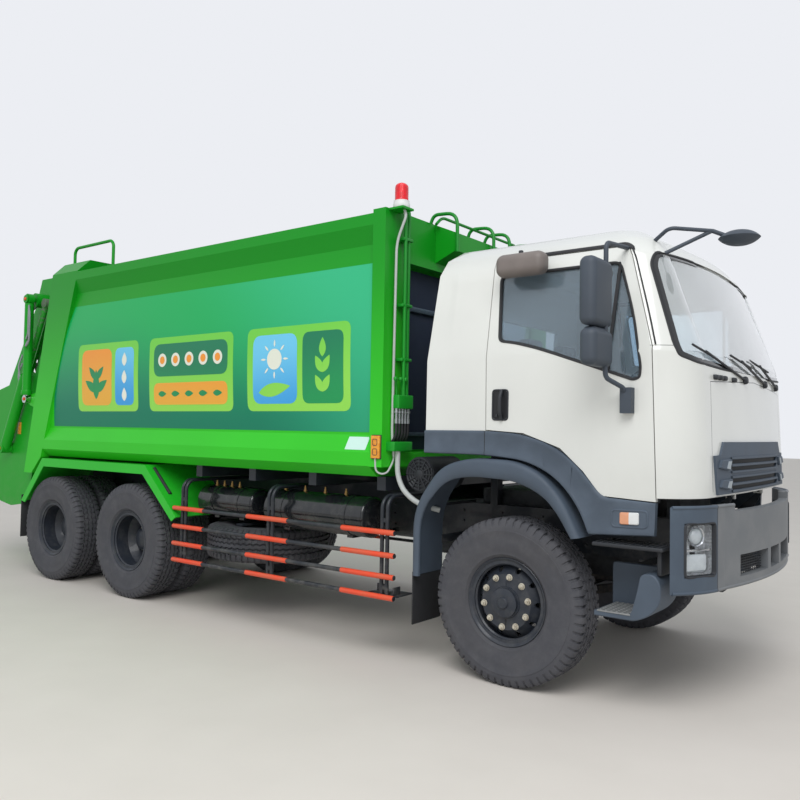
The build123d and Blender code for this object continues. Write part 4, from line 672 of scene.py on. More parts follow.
# Front mudguards and flaps
# Injection moulded slate plastic: a rolled sheet over the wheel, a broad rounded lip outside
# it, and a black rubber flap bolted on behind. A second flap hangs behind the rear wheels.
def bent(corners, bends, steps=7):
    """A route with its inner corners rounded: a quadratic curve from one bend's length
    before each corner to as much after it."""
    corners = np.asarray(corners, float)
    turns = corners[1:-1]
    bends = np.broadcast_to(bends, len(turns))[:, None]
    before = turns + bends * unit(corners[:-2] - turns)
    after = turns + bends * unit(corners[2:] - turns)
    t = np.linspace(0, 1, steps)[None, :, None]
    arcs = ((1 - t) ** 2 * before[:, None] + 2 * t * (1 - t) * turns[:, None]
            + t ** 2 * after[:, None])
    return np.concatenate([corners[:1], arcs.reshape(-1, corners.shape[1]), corners[-1:]])


slate = plastic("slate_plastic", (68, 79, 92))
GUARD_OUT = [(0.549, 1.015), (0.427, 1.245), (0.279, 1.389), (0.090, 1.462), (-0.261, 1.470),
             (-0.480, 1.400), (-0.700, 1.110), (-0.700, 0.640)]
GUARD_LIP = [(0.487, 1.003), (0.379, 1.176), (0.272, 1.268), (0.092, 1.334), (-0.253, 1.350),
             (-0.440, 1.306), (-0.640, 1.080), (-0.640, 0.640)]
GUARD_BEND = (0.10, 0.09, 0.09, 0.13, 0.10, 0.16)
outer, lip = bent(GUARD_OUT, GUARD_BEND), bent(GUARD_LIP, GUARD_BEND)
inward = unit(lip - outer)
mudguard_lips, front_flaps = Surface(), Surface()
for side in (-1, 1):
    # The lip's section: inner edge of the sheet, over the outer edge's round, down the lip
    ribs = ((0.012, 0.880), (0.0, 0.884), (0.0, 1.214), (0.004, 1.228), (0.014, 1.238),
            (0.030, 1.242))
    rows = [lay(outer + inward * deep, side * y) for deep, y in ribs]
    rows += [lay(outer + (lip - outer) * share, side * y) for share, y in
             ((0.55, 1.243), (0.90, 1.238), (1.0, 1.226), (0.94, 1.212), (0.50, 1.214))]
    rows.append(lay(outer + inward * 0.014, side * 1.206))
    mudguard_lips.grid(np.stack(rows), round_rows=True)
    mudguard_lips.close(len(rows), len(outer))
    for rear, front, low, high, y_in, y_out in (
            (-0.700, -0.690, 0.300, 0.665, 0.890, 1.230),
            (-6.086, -6.0783, 0.400, 0.862, 0.600, 1.245)):
        block(front_flaps, (rear, side * y_in, low), (front, side * y_out, high), 0.003, 2)
mudguard_arms = blocks([((-0.700, side * RAIL_SIDE, 0.830), (-0.686, side * 0.890, 0.890))
                        for side in (-1, 1)], 0.003)
mudguard_lips.piece("mudguard_lips", "chassis", "dark_plastic", slate, "mudguards", sharp=50)
mudguard_arms.piece("mudguard_arms", "chassis", "frame_paint", chassis_black, "mudguards")
front_flaps.piece("rubber_flaps", "chassis", "dark_plastic", black_rubber, "mudguards")

# Steps
# A moulded box below each door with a cast alloy tread in its mouth, and a ribbed plate
# above it.
dress(slate, "steps")
low_steps, high_steps, step_arms = Surface(), Surface(), Surface()
CHEEK = bent([(0.640, 0.572), (0.885, 0.572), (0.975, 0.610), (1.036, 0.690), (1.036, 0.800),
              (1.000, 0.852), (0.925, 0.845), (0.905, 0.740), (0.866, 0.600), (0.640, 0.600)],
             (0.02, 0.05, 0.04, 0.03, 0.03, 0.02, 0.05, 0.03), 5)
BACK = bent([(0.636, 0.574), (0.900, 0.574), (0.945, 0.700), (0.945, 0.853), (0.636, 0.853),
             (0.636, 0.580)], (0.02, 0.03, 0.02, 0.02), 5)


def slab(outline, near, far, corner):
    """A side view outline given a width: its ends shrink a little to round them."""
    middle = (outline.min(0) + outline.max(0)) / 2
    inner = middle + (outline - middle) * (1 - 2 * corner / np.ptp(outline, axis=0))
    way = np.sign(far - near) * corner
    return np.stack([lay(inner, near), lay(outline, near + way), lay(outline, far - way),
                     lay(inner, far)])


for side in (-1, 1):
    low_steps.grid(slab(CHEEK, side * 0.938, side * 1.228, 0.006), round_columns=True, caps=True)
    low_steps.grid(slab(BACK, side * 0.902, side * 0.940, 0.004), round_columns=True, caps=True)
    block(high_steps, (0.627, side * 0.98, 0.981), (1.052, side * 1.238, 1.0045), 0.008)
    for low, high in (((1.004, 1.010, 0.84), (1.030, 1.190, 0.985)),
                      ((0.760, 0.430, 0.812), (0.860, 0.903, 0.848))):
        block(step_arms, np.multiply(low, (1, side, 1)), np.multiply(high, (1, side, 1)), 0.005)
low_steps.piece("low_steps", "chassis", "dark_plastic", slate, "steps")
high_steps.piece("high_steps", "chassis", "dark_plastic", black_plastic, "steps")
step_arms.piece("step_arms", "chassis", "dark_plastic", black_plastic, "steps")
tread_alloy = mottled("tread_alloy", ((170, 172, 172), (120, 122, 122)), (0.02, 5.0, 0.7),
                      (0.35, 0.3), 0.0005, metallic=0.6)
TREAD_STUD = [(0.009, 0.0), (0.009, 0.003), (0.006, 0.0055), (0.0, 0.006)]
step_treads = Surface()
for side in (-1, 1):
    block(step_treads, (0.660, side * 0.945, 0.6005), (0.863, side * 1.232, 0.610), 0.003, 2)
    for along in np.linspace(0.680, 0.845, 6):
        for across in np.linspace(0.965, 1.215, 8):
            lathe(step_treads, TREAD_STUD, (AXLE + along, side * across, 0.609), (0, 0, 1), 10)
step_treads.piece("step_treads", "chassis", "frame_paint", tread_alloy)
upper_ribs = blocks([((x - 0.004, side * 1.03, 1.004), (x + 0.004, side * 1.236, 1.010))
                     for side in (-1, 1) for x in np.linspace(0.66, 1.03, 12)], 0.002, 1)
upper_ribs.piece("upper_step_ribs", "chassis", "dark_plastic", black_plastic)


# Bumper
# A slate moulding that curves round to the wheels, on two arms from the rails. Round rims edge
# it, a lip frames each lamp, and a mesh closes its lower slots.
def arc_through(a, b, c):
    """Centre and radius of the circles through three points, from the squares of their
    distances from the origin and twice the signed area between them."""
    a, b, c = (np.broadcast_arrays(*p) for p in (a, b, c))
    square = [p[0] ** 2 + p[1] ** 2 for p in (a, b, c)]
    area = 2 * (a[0] * (b[1] - c[1]) + b[0] * (c[1] - a[1]) + c[0] * (a[1] - b[1]))
    x = (square[0] * (b[1] - c[1]) + square[1] * (c[1] - a[1]) + square[2] * (a[1] - b[1])) / area
    y = (square[0] * (c[0] - b[0]) + square[1] * (a[0] - c[0]) + square[2] * (b[0] - a[0])) / area
    return x, y, np.hypot(a[0] - x, a[1] - y)


def on_bumper(across, height, lift, side=1):
    """The bumper's skin at a distance across and a height: its corner's arc through three
    points drawn in by minus the lift, and ahead of it the nose's flat arc."""
    inset = -np.asarray(lift)
    x, y, radius = arc_through((1.269 - inset, 0.800), (1.205 - inset, 1.050 - 0.3 * inset),
                               (1.085, 1.215 - inset))
    corner = x + np.sqrt(np.maximum(radius ** 2 - (across - y) ** 2, 0))
    wide, fall, front = 0.8, 0.096, 1.365
    bow = (wide ** 2 + fall ** 2) / (2 * fall)
    nose = front - inset - bow + np.sqrt(bow ** 2 - np.minimum(across, wide) ** 2)
    ahead = np.where(across > wide, corner, nose)
    return np.stack(np.broadcast_arrays(AXLE + ahead, side * across, height), -1)


def rounded(corners, bend, steps=6):
    """A closed outline with rounded corners, by the same quadratic curves as a bent route."""
    corners = np.asarray(corners, float)
    bend = np.broadcast_to(bend, len(corners))[:, None]
    before = corners + bend * unit(np.roll(corners, 1, 0) - corners)
    after = corners + bend * unit(np.roll(corners, -1, 0) - corners)
    t = np.linspace(0, 1, steps)[None, :, None]
    return ((1 - t) ** 2 * before[:, None] + 2 * t * (1 - t) * corners[:, None]
            + t ** 2 * after[:, None]).reshape(-1, 2)


def plate(left, low, right, high, bend, steps=6):
    """The outline of a rectangle with rounded corners."""
    return rounded([(left, low), (right, low), (right, high), (left, high)], bend, steps)


def band(outline, section, place, closed=True):
    """A strip along an outline on a skin. A point of its section is an offset to the
    outline's outside and a height above the skin, and place puts both in space."""
    outline, section = np.asarray(outline, float), np.asarray(section, float)
    if closed:
        way = unit(np.roll(outline, -1, 0) - np.roll(outline, 1, 0))
        turn = np.roll(outline, -1, 0)
        area = (outline[:, 0] * turn[:, 1] - outline[:, 1] * turn[:, 0]).sum()
    else:
        way, area = unit(np.gradient(outline, axis=0)), 1
    out = np.stack([way[:, 1], -way[:, 0]], -1) * (1 if area > 0 else -1)
    flat = outline[:, None] + section[None, :, :1] * out[:, None]
    return place(flat[..., 0], flat[..., 1], section[None, :, 1])


def sheet(outline, place, lift, rows=6):
    """A thin film or lens inside an outline: its points shrink to its middle by equal steps,
    and the lift may change from the middle to the edge."""
    outline = np.asarray(outline, float)
    middle = (outline.min(0) + outline.max(0)) / 2
    share = np.linspace(0, 1, rows)[:, None, None]
    flat = middle + share * (outline - middle)
    lift = np.broadcast_to(lift, rows)[:, None]
    return place(flat[..., 0], flat[..., 1], lift)


def strip(surface, *shape, **more):
    """Adds a closed outline's band to a surface."""
    return surface.grid(band(*shape), round_rows=True, **more)


def cover(surface, *shape):
    """Adds a sheet to a surface."""
    return surface.grid(sheet(*shape), round_columns=True)


def across_bumper(y, height, lift):
    """The bumper's skin at distances across with their signs."""
    at = on_bumper(np.abs(y), height, lift)
    at[:, 1] = y
    return at


f = Finish("bumper_slate")
cloud = f.noise(0.3, 5.0)
size = f.y.math("ABSOLUTE")
seam = (size - 0.905).line(0.0, 0.005) * (f.x > AXLE + 1.15)
corner = f.blend(cloud.ramp(0.35, 0.75), linear(66, 78, 92), linear(78, 92, 106))
# Painted reflection: between the corner seams the bumper's middle is a paler grey that stands for
# the sky's reflection.
middle = f.blend(cloud.ramp(0.35, 0.75), linear(104, 108, 112), linear(120, 122, 124))
colour = f.blend(size.ramp(0.900, 0.905), middle, corner)
bumper_slate = f.done(base_color=f.blend(seam, colour, linear(24, 27, 31)),
                      roughness=cloud * 0.15 + 0.45, normal=f.bump(1 - seam, 0.002))
dress(bumper_slate, "bumper")
LAMP = plate(0.934, 0.844, 1.142, 1.139, 0.022)
LAMP_LIP = [(0.002, -0.02), (0.009, -0.002), (0.009, 0.004), (0.004, 0.007), (-0.002, 0.004),
            (-0.003, -0.010), (-0.003, -0.02)]
bumper_rims = Surface()
for height, low, high in ((0.752, -1.200, 1.200), (1.232, -1.200, -0.692), (1.232, 0.692, 1.200)):
    y = np.linspace(low, high, 60 if low < 0 < high else 16)
    rod(bumper_rims, across_bumper(y, height, -0.007), 0.0115, 12)
bumper_rims.piece("bumper_rims", "chassis", "dark_plastic", bumper_slate)
WIRE = 0.003
lamp_lips, slot_mesh = Surface(), Surface()
for side in (-1, 1):
    strip(lamp_lips, LAMP, LAMP_LIP, lambda y, z, lift: on_bumper(y, z, lift, side),
          round_columns=True)
for low, high in ((-0.620, -0.170), (-0.110, 0.110), (0.170, 0.620)):
    for height in np.arange(0.812, 0.93, 0.016):
        y = np.linspace(low - 0.01, high + 0.01, 16)
        rod(slot_mesh, across_bumper(y, height, -0.045), WIRE, 6)
    for y in np.arange(low, high, 0.03):
        rod(slot_mesh, across_bumper(y, np.linspace(0.79, 0.94, 3), -0.047), WIRE, 6, (1, 0, 0))
lamp_lips.piece("lamp_lips", "chassis", "dark_plastic", black_plastic)
slot_mesh.piece("bumper_mesh", "chassis", "dark_plastic", black_plastic)

# Headlamps
# A bright moulded bowl behind a clear cover, with a round projector above a bar and a square
# fog lamp below it.
f = Finish("clear_cover")
rain = f.noise(0.05, 4.0)
clear_cover = f.done(base_color=f.blend(rain, (0.96, 0.98, 1.0), (0.88, 0.91, 0.93)),
                     roughness=rain * 0.04 + 0.01, ior=1.3, transmission_weight=1.0)
f = Finish("lamp_bowl")
flutes = (f.z * 300).math("SINE")
haze = f.noise(0.05, 3.0)
lamp_bowl = f.done(base_color=f.blend(haze, linear(222, 224, 226), linear(176, 180, 184)),
                   roughness=haze * 0.15 + 0.2, metallic=0.35, normal=f.bump(flutes, 0.0006))
lamp_cover, lamp_bowls, lamp_lenses, lamp_bars = Surface(), Surface(), Surface(), Surface()
OPENING = plate(0.941, 0.851, 1.135, 1.132, 0.020)
for side in (-1, 1):
    def at_lamp(y, z, lift, side=side):
        return on_bumper(y, z, lift, side)

    cover(lamp_cover, OPENING, at_lamp, -0.012)
    lamp_bowls.grid(np.concatenate([sheet(OPENING, at_lamp, -0.062)[1:],
                                    band(OPENING, [(0.0, -0.014)], at_lamp).swapaxes(0, 1)]),
                    round_columns=True)
    bar = plate(0.941, 0.982, 1.135, 0.996, 0.004, 3)
    strip(lamp_bars, bar, [(0, -0.062), (0, -0.020), (-0.002, -0.018)], at_lamp)
    cover(lamp_bars, bar, at_lamp, -0.0185, 3)
    # Projector: a chromed ring that faces ahead and outwards, and a glass dome in it
    axis = unit(np.array((0.86, side * 0.5, 0.0)))
    centre = on_bumper(1.030, 1.066, -0.050, side)
    lathe(lamp_bars, [(0.062, -0.012), (0.062, 0.012), (0.058, 0.016), (0.050, 0.012),
                      (0.046, 0.0), (0.046, -0.012)], centre, axis, 36, round_rows=True)
    lathe(lamp_lenses, [(0.0, -0.004), (0.047, -0.004)] + dome(0.047, 0.024, 8), centre, axis, 32)
    fog = plate(0.965, 0.868, 1.112, 0.966, 0.016)
    strip(lamp_lenses, fog, [(0, -0.06), (0, -0.036), (-0.006, -0.030)], at_lamp)
    fog_face = plate(0.971, 0.874, 1.106, 0.960, 0.012)
    cover(lamp_lenses, fog_face, at_lamp, (-0.026, -0.027, -0.030), 3)
lamp_cover.piece("lamp_covers", "chassis", "glass", clear_cover, "headlamps")
lamp_bowls.piece("lamp_bowls", "chassis", "glass", lamp_bowl, "headlamps")
f = Finish("projector_glass")
milk = f.noise(0.03, 3.0)
projector_glass = f.done(base_color=f.blend(milk, linear(232, 238, 240), linear(206, 214, 218)),
                         roughness=milk * 0.05 + 0.03, coat_weight=1.0)
lamp_lenses.piece("lamp_lenses", "chassis", "glass", projector_glass, "headlamps")
f = Finish("lamp_chrome")
ghost = f.noise(0.04, 3.0)
lamp_chrome = f.done(base_color=f.blend(ghost, linear(214, 216, 218), linear(188, 190, 194)),
                     roughness=ghost * 0.1 + 0.08, metallic=0.95)
lamp_bars.piece("lamp_rings", "chassis", "glass", lamp_chrome, "headlamps")


# Cab
# A pressed steel shell in warm white enamel. Fine dark joints part the doors, the front panel
# and the corner panels, and a soft crease runs down behind each door.
def on_cab(along, across, height, lift):
    """The cab's skin pushed out by lift. Its plan at a height is a straight side, a corner
    arc and a front arc, whose measures change evenly between the heights below. Columns:
    height, half width, door seam, corner x, corner y, middle of the front. Either along or
    across is None, and is worked out from the other."""
    plan = np.array([
        (1.000, 1.200, 1.003, 1.215, 0.880, 1.250), (1.280, 1.200, 1.000, 1.215, 0.880, 1.250),
        (2.130, 1.192, 0.969, 1.180, 0.875, 1.225), (2.740, 1.085, 0.803, 0.960, 0.840, 1.030),
        (2.850, 1.030, 0.740, 0.880, 0.790, 0.945), (2.925, 0.930, 0.640, 0.760, 0.700, 0.820),
        (2.970, 0.720, 0.480, 0.580, 0.520, 0.620)])
    half, seam, corner, wide, front = (np.interp(height, plan[:, 0], plan[:, k])
                                       for k in range(1, 6))
    x, y, radius = arc_through((seam, half), ((seam + corner) / 2 + 0.042,
                                              (half + wide) / 2 + 0.042), (corner, wide))
    fall = front - corner
    bow = (wide ** 2 + fall ** 2) / (2 * fall)
    if across is None:
        out = np.sqrt(np.maximum(radius ** 2 - np.maximum(along - x, 0) ** 2, 0))
        bend = along > seam
        across = np.where(bend, y + out, half)
        way_x, way_y = np.where(bend, along - x, 0), np.where(bend, across - y, 1)
    else:
        size = np.abs(across)
        corner_x = x + np.sqrt(np.maximum(radius ** 2 - np.maximum(size - y, 0) ** 2, 0))
        nose_x = front - bow + np.sqrt(bow ** 2 - np.minimum(size, wide) ** 2)
        bend = size > wide
        along = np.where(bend, corner_x, nose_x)
        way_x = np.where(bend, along - x, along - front + bow)
        way_y = np.where(bend, size - y, size) * np.sign(across)
    length = np.hypot(way_x, way_y)
    return along + lift * way_x / length, across + lift * way_y / length, height


def on_side(side):
    """Places side view points on one side of the cab."""
    def place(along, height, lift):
        x, y, z = on_cab(along, None, height, lift)
        return np.stack(np.broadcast_arrays(AXLE + x, side * y, z), -1)
    return place


def on_front(across, height, lift):
    """Places front view points on the front of the cab."""
    x, y, z = on_cab(None, across, height, lift)
    return np.stack(np.broadcast_arrays(AXLE + x, y, z), -1)


f = Finish("cab_white")
cloud = f.noise(0.9, 4.0)
white = f.blend(cloud.ramp(0.3, 0.7), linear(222, 223, 218), linear(216, 217, 212))
size = f.y.math("ABSOLUTE")
panel = (size - (f.z * -0.043 + 0.914)).line(0.0, 0.005) * (f.z > 1.31) * (f.z < 1.962)
shelf = (f.z - (1.0 - size) * 0.045).line(1.958, 0.005) * (size < 0.835) * (f.x > AXLE + 1.0)
pillar = f.z.line(2.161, 0.003) * (f.x > AXLE + 0.955) * (size > 1.105)
joints = (panel * (f.x > AXLE + 1.0)).math("MAXIMUM", shelf).math("MAXIMUM", pillar)
crease = (f.x.ramp(AXLE - 0.50, AXLE - 0.43) * f.z.ramp(2.66, 2.80, 1, 0)
          * f.z.ramp(2.1, 2.6))
dirt = f.z.ramp(1.2, 1.7, 0.16, 0.0) * f.noise(0.1, 6.0, 0.7)
# Painted shade: above 2.70 m the white turns greyer towards the roof's curve.
white = f.blend(f.z.ramp(2.70, 2.97), white, linear(200, 202, 200))
cab_white = f.done(
    base_color=f.blend(joints, f.blend(dirt, white, linear(150, 146, 138)),
                       linear(58, 60, 62)),
    roughness=cloud * 0.06 + 0.2,
    normal=f.bump(crease, 0.006, f.bump(1 - joints, 0.002, f.bump(f.noise(0.006, 1), 0.00006))),
    coat_weight=0.5, coat_roughness=0.06)
dress(cab_white, "cab_shell door_right door_left")
cab_skin = Surface()
add_triangles(cab_skin, *merged_copy("cab_shell"))
cab_skin.piece("cab_skin", "cab", "cab_white", cab_white, "cab_shell", sharp=32)
for name in ("right", "left"):
    door_skin = Surface()
    add_triangles(door_skin, *merged_copy(f"door_{name}"))
    door_skin.piece(f"door_skin_{name}", f"door_{name}", "cab_white", cab_white, f"door_{name}",
                    sharp=20)
dress(black_rubber, "door_seals")

# Wheel arch cladding
# Injection moulded slate strips over the arch and below the doors, split at the door's edge.
# Each lower corner holds a side turn lamp in a sunk oval.
CLADDING_FOOT = [(-0.630, 1.490), (-0.132, 1.490), (0.187, 1.461), (0.395, 1.353),
                 (0.528, 1.189), (0.590, 1.040), (0.993, 1.064)]
CLADDING_HEAD = [(-0.630, 1.648), (-0.160, 1.651), (0.137, 1.634), (0.393, 1.547),
                 (0.548, 1.411), (0.676, 1.268), (1.000, 1.252)]
foot = bent(CLADDING_FOOT, (0.12, 0.13, 0.11, 0.09, 0.012), 8)
head = bent(CLADDING_HEAD, (0.12, 0.13, 0.13, 0.09, 0.05), 8)
cladding = Surface()
for side in (-1, 1):
    rows = []
    for share, lift in ((0, -0.030), (0, 0.003), (0.03, 0.010), (0.12, 0.012), (0.16, 0.0085),
                        (0.5, 0.0085), (0.84, 0.0085), (0.90, 0.012), (0.97, 0.010), (1, 0.003),
                        (1, -0.030)):
        flat = foot + (head - foot) * share
        rows.append(on_side(side)(flat[:, 0], flat[:, 1], lift))
    cladding.grid(np.stack(rows), round_rows=True)
    cladding.close(len(rows), len(foot))
f = Finish("cladding_slate")
cloud = f.noise(0.25, 5.0)
split = f.x.line(AXLE - 0.143, 0.005) * (f.z > 1.47)
pebbles = f.node("ShaderNodeTexVoronoi", {"Vector": f.place, "Scale": 1 / PEBBLE})
colour = f.blend(cloud.ramp(0.35, 0.75), linear(68, 79, 92), linear(82, 94, 108))
cladding_slate = f.done(base_color=f.blend(split, colour, linear(20, 22, 25)),
                        roughness=cloud * 0.15 + 0.5, normal=f.bump(pebbles, 0.0001))
cladding.piece("arch_cladding", "cab", "dark_plastic", cladding_slate, "cab_cladding", sharp=40)

turn_wells, turn_lenses = Surface(), Surface()
WELL = rounded([(0.735, 1.100), (0.955, 1.106), (0.955, 1.206), (0.735, 1.200)], 0.028)
LENS = rounded([(0.790, 1.118), (0.905, 1.122), (0.905, 1.192), (0.790, 1.188)], 0.012)
for side in (-1, 1):
    strip(turn_wells, WELL,
          [(0.006, 0.006), (0.002, 0.012), (-0.004, 0.0125), (-0.008, 0.0095), (-0.008, 0.004)],
          on_side(side), round_columns=True)
    cover(turn_wells, LENS, on_side(side), 0.0092)
    strip(turn_lenses, LENS, [(0, 0.008), (0, 0.015), (-0.004, 0.019)], on_side(side))
    inner = rounded([(0.794, 1.122), (0.901, 1.126), (0.901, 1.188), (0.794, 1.184)], 0.009)
    cover(turn_lenses, inner, on_side(side), (0.021, 0.021, 0.0208, 0.0205, 0.020, 0.019))
turn_wells.piece("turn_lamp_wells", "cab", "dark_plastic", cladding_slate)
f = Finish("turn_lens")
prisms = (f.x * 900).math("SINE")
stripe = f.noise(0.05, 2.0)
half_amber = f.x.ramp(AXLE + 0.845, AXLE + 0.849, 1, 0)
turn_lens = f.done(base_color=f.blend(half_amber, linear(226, 228, 228), linear(226, 158, 120)),
                   roughness=stripe * 0.1 + 0.1, normal=f.bump(prisms, 0.0006), coat_weight=0.8)
turn_lenses.piece("turn_lenses", "cab", "lamp_glass", turn_lens)

# Windows
# Laminated and tempered glass with a faint blue tint, set in black rubber. The windscreen has
# a black ceramic border, and the black drip moulding runs over each door.
f = Finish("tinted_glass")
film = f.noise(0.4, 3.0)
tinted_glass = f.done(base_color=f.blend(film, (0.58, 0.73, 0.85), (0.62, 0.77, 0.88)),
                      roughness=film * 0.03 + 0.0, ior=1.45, transmission_weight=0.88,
                      coat_weight=0.5)
f = Finish("screen_glass")
film = f.noise(0.4, 3.0)
screen_glass = f.done(base_color=f.blend(film, (0.93, 0.99, 1.0), (0.97, 1.0, 1.0)),
                      roughness=film * 0.03 + 0.0, ior=1.45, transmission_weight=0.72,
                      coat_weight=1.0, coat_ior=1.6)
dress(screen_glass, "cab_glass")
dress(tinted_glass, "door_glass_right door_glass_left")
WINDSCREEN = rounded([
    (-0.640, 2.762), (-1.010, 2.745), (-1.052, 2.670), (-1.112, 2.170), (-1.108, 2.105),
    (-0.995, 2.068), (-0.600, 2.050), (0.600, 2.050), (0.995, 2.068), (1.108, 2.105),
    (1.112, 2.170), (1.052, 2.670), (1.010, 2.745), (0.640, 2.762)],
    (0.12, 0.038, 0.035, 0.030, 0.030, 0.05, 0.15, 0.15, 0.05, 0.030, 0.030, 0.035, 0.038, 0.12))
SCREEN_RUBBER = [(0.004, -0.008), (0.007, 0.001), (0.003, 0.004), (-0.004, 0.002),
                 (-0.009, -0.004), (-0.009, -0.012)]
SCREEN_BORDER = [(-0.006, -0.0065), (-0.012, -0.0062), (-0.022, -0.0062), (-0.030, -0.0066)]
windscreen_rubber = strip(Surface(), WINDSCREEN, SCREEN_RUBBER, on_front, round_columns=True)
windscreen_rubber.piece("windscreen_rubber", "cab", "dark_plastic", black_rubber)
windscreen_border = strip(Surface(), WINDSCREEN, SCREEN_BORDER, on_front)
ceramic = mottled("ceramic_border", ((16, 18, 20), (26, 28, 30)), (0.01, 1.0), (0.12, 0.1),
                  coat_weight=0.6)
windscreen_border.piece("windscreen_border", "cab", "glass", ceramic)
DOOR_WINDOW = rounded([
    (-0.060, 2.240), (0.060, 2.222), (0.230, 2.178), (0.858, 1.962), (0.898, 1.975),
    (0.905, 2.040), (0.850, 2.342), (0.739, 2.690), (-0.096, 2.690)],
    (0.035, 0.05, 0.07, 0.018, 0.018, 0.03, 0.13, 0.05, 0.05))
DOOR_RUBBER = [(0.005, -0.006), (0.007, 0.003), (0.003, 0.0055), (-0.006, 0.004),
               (-0.012, -0.004), (-0.012, -0.014)]
drip_path = bent([(-0.150, 2.66), (-0.152, 2.806), (0.780, 2.806), (0.823, 2.735), (0.930, 2.37),
                  (0.984, 2.165)], (0.06, 0.05, 0.05, 0.1), 7)
for side, name in SIDES:
    trim = strip(Surface(), DOOR_WINDOW, DOOR_RUBBER, on_side(side), round_columns=True)
    # The fixed quarter's upright between the two panes
    upright = np.stack([np.linspace(0.700, 0.735, 9), np.linspace(2.030, 2.680, 9)], -1)
    trim.grid(band(upright, [(0.010, -0.012), (0.010, -0.001), (-0.010, -0.001),
                             (-0.010, -0.012)], on_side(side), closed=False),
              round_columns=True)
    trim.piece(f"door_rubber_{name}", f"door_{name}", "dark_plastic", black_rubber)
drips = Surface()
for side in (-1, 1):
    for part, half in ((drip_path[6:16], 1.3), (drip_path[15:], 0.45)):
        drips.grid(band(part, np.array([(0.009, -0.004), (0.009, 0.006), (0.004, 0.010),
                                        (-0.004, 0.010), (-0.009, 0.005), (-0.009, -0.004)])
                        * (half, 1.0), on_side(side), closed=False), round_columns=True)
drips.piece("drip_mouldings", "cab", "dark_plastic", black_rubber)

# Door handles
# A bowl of black moulded plastic let into the door, with an upright grip across its middle
# # and a key barrel beside it. The bowl is a flat sheet, darker than the plastic as painted shade.
HANDLE = plate(-0.094, 1.718, 0.028, 1.922, 0.026)
BOWL = plate(-0.084, 1.728, 0.018, 1.912, 0.020)
handle_well = mottled("handle_well", ((16, 18, 21), (26, 28, 32)), (0.03, 3.0), (0.4, 0.2))
for side, name in SIDES:
    handle = strip(Surface(), HANDLE,
                   [(0.001, 0.0), (0.0, 0.005), (-0.004, 0.007), (-0.009, 0.005), (-0.011, 0.001)],
                   on_side(side), round_columns=True)
    grip = bent([(-0.020, 1.722), (-0.020, 1.760), (-0.020, 1.880), (-0.020, 1.918)],
                (0.02, 0.02), 6)
    reach = 0.004 + 0.026 * np.sin(np.linspace(0.15, np.pi - 0.15, len(grip)))
    grip_path = on_side(side)(grip[:, 0], grip[:, 1], reach)
    rod(handle, grip_path, 0.012, 14, (1, 0, 0))
    rod(handle, on_side(side)(np.array((-0.055, -0.055)), np.array((1.742, 1.760)), 0.005),
        (0.011, 0.009), 14, (1, 0, 0))
    handle.piece(f"door_handle_{name}", f"door_{name}", "dark_plastic", black_plastic)
    # The well is a flat sheet on the door: its near-black is the plastic's own colour and painted
    # shade of the recess.
    well = cover(Surface(), BOWL, on_side(side), 0.0012)
    well.piece(f"handle_well_{name}", f"door_{name}", "dark_plastic", handle_well)

# Mirrors
# Heated glasses in rounded shells of black grained plastic, clamped to one bent steel tube.
# Each glass looks back, and the kerb mirror's looks down beside the door.
mirror_grey = plastic("mirror_grey", (58, 66, 76), 0.5)
dress(mirror_grey, "mirrors_right mirrors_left cab_mirrors")
mirror_glass = mottled("mirror_glass", ((214, 220, 224), (196, 204, 210)), (0.08, 4.0),
                       (0.02, 0.05), metallic=1.0)
for side, name in SIDES:
    glasses, creases = Surface(), Surface()
    for rear, low, high in ((0.692, 2.250, 2.640), (0.697, 2.024, 2.236)):
        block(creases, (rear, side * 1.330, low), (rear + 0.104, side * 1.602, high), 0.042, 6)
    for rear, low, high in ((0.690, 2.290, 2.602), (0.695, 2.066, 2.200)):
        block(glasses, (rear - 0.003, side * 1.374, low), (rear + 0.003, side * 1.537, high),
              0.0028, 2)
        # The shell's parting bead, and its clamp on the tube
        line = plate(1.350, low - 0.026, 1.561, high + 0.026, 0.032)
        bead = np.stack([np.full(len(line), AXLE + rear + 0.030), side * line[:, 0],
                         line[:, 1]], -1)
        rod(creases, np.concatenate([bead, bead[:1]]), 0.0035, 8, (1, 0, 0), caps=False)
        block(creases, (0.750, side * 1.335, high - 0.05), (0.792, side * 1.372, high - 0.015),
              0.008, 2)
    glasses.piece(f"mirror_glasses_{name}", f"door_{name}", "glass", mirror_glass)
    creases.piece(f"mirror_beads_{name}", f"door_{name}", "dark_plastic", mirror_grey)
kerb_grey = plastic("kerb_grey", (112, 104, 100), 0.45)
kerb_mirror = blocks([((-0.058, -1.264, 2.647), (0.293, -1.132, 2.797))], 0.054, 7)
kerb_mirror.piece("kerb_mirror", "door_right", "dark_plastic", kerb_grey)
kerb_clamp = blocks([((0.085, -1.190, 2.778), (0.112, -1.165, 2.822))], 0.006)
kerb_clamp.piece("kerb_mirror_clamp", "door_right", "dark_plastic", black_plastic)
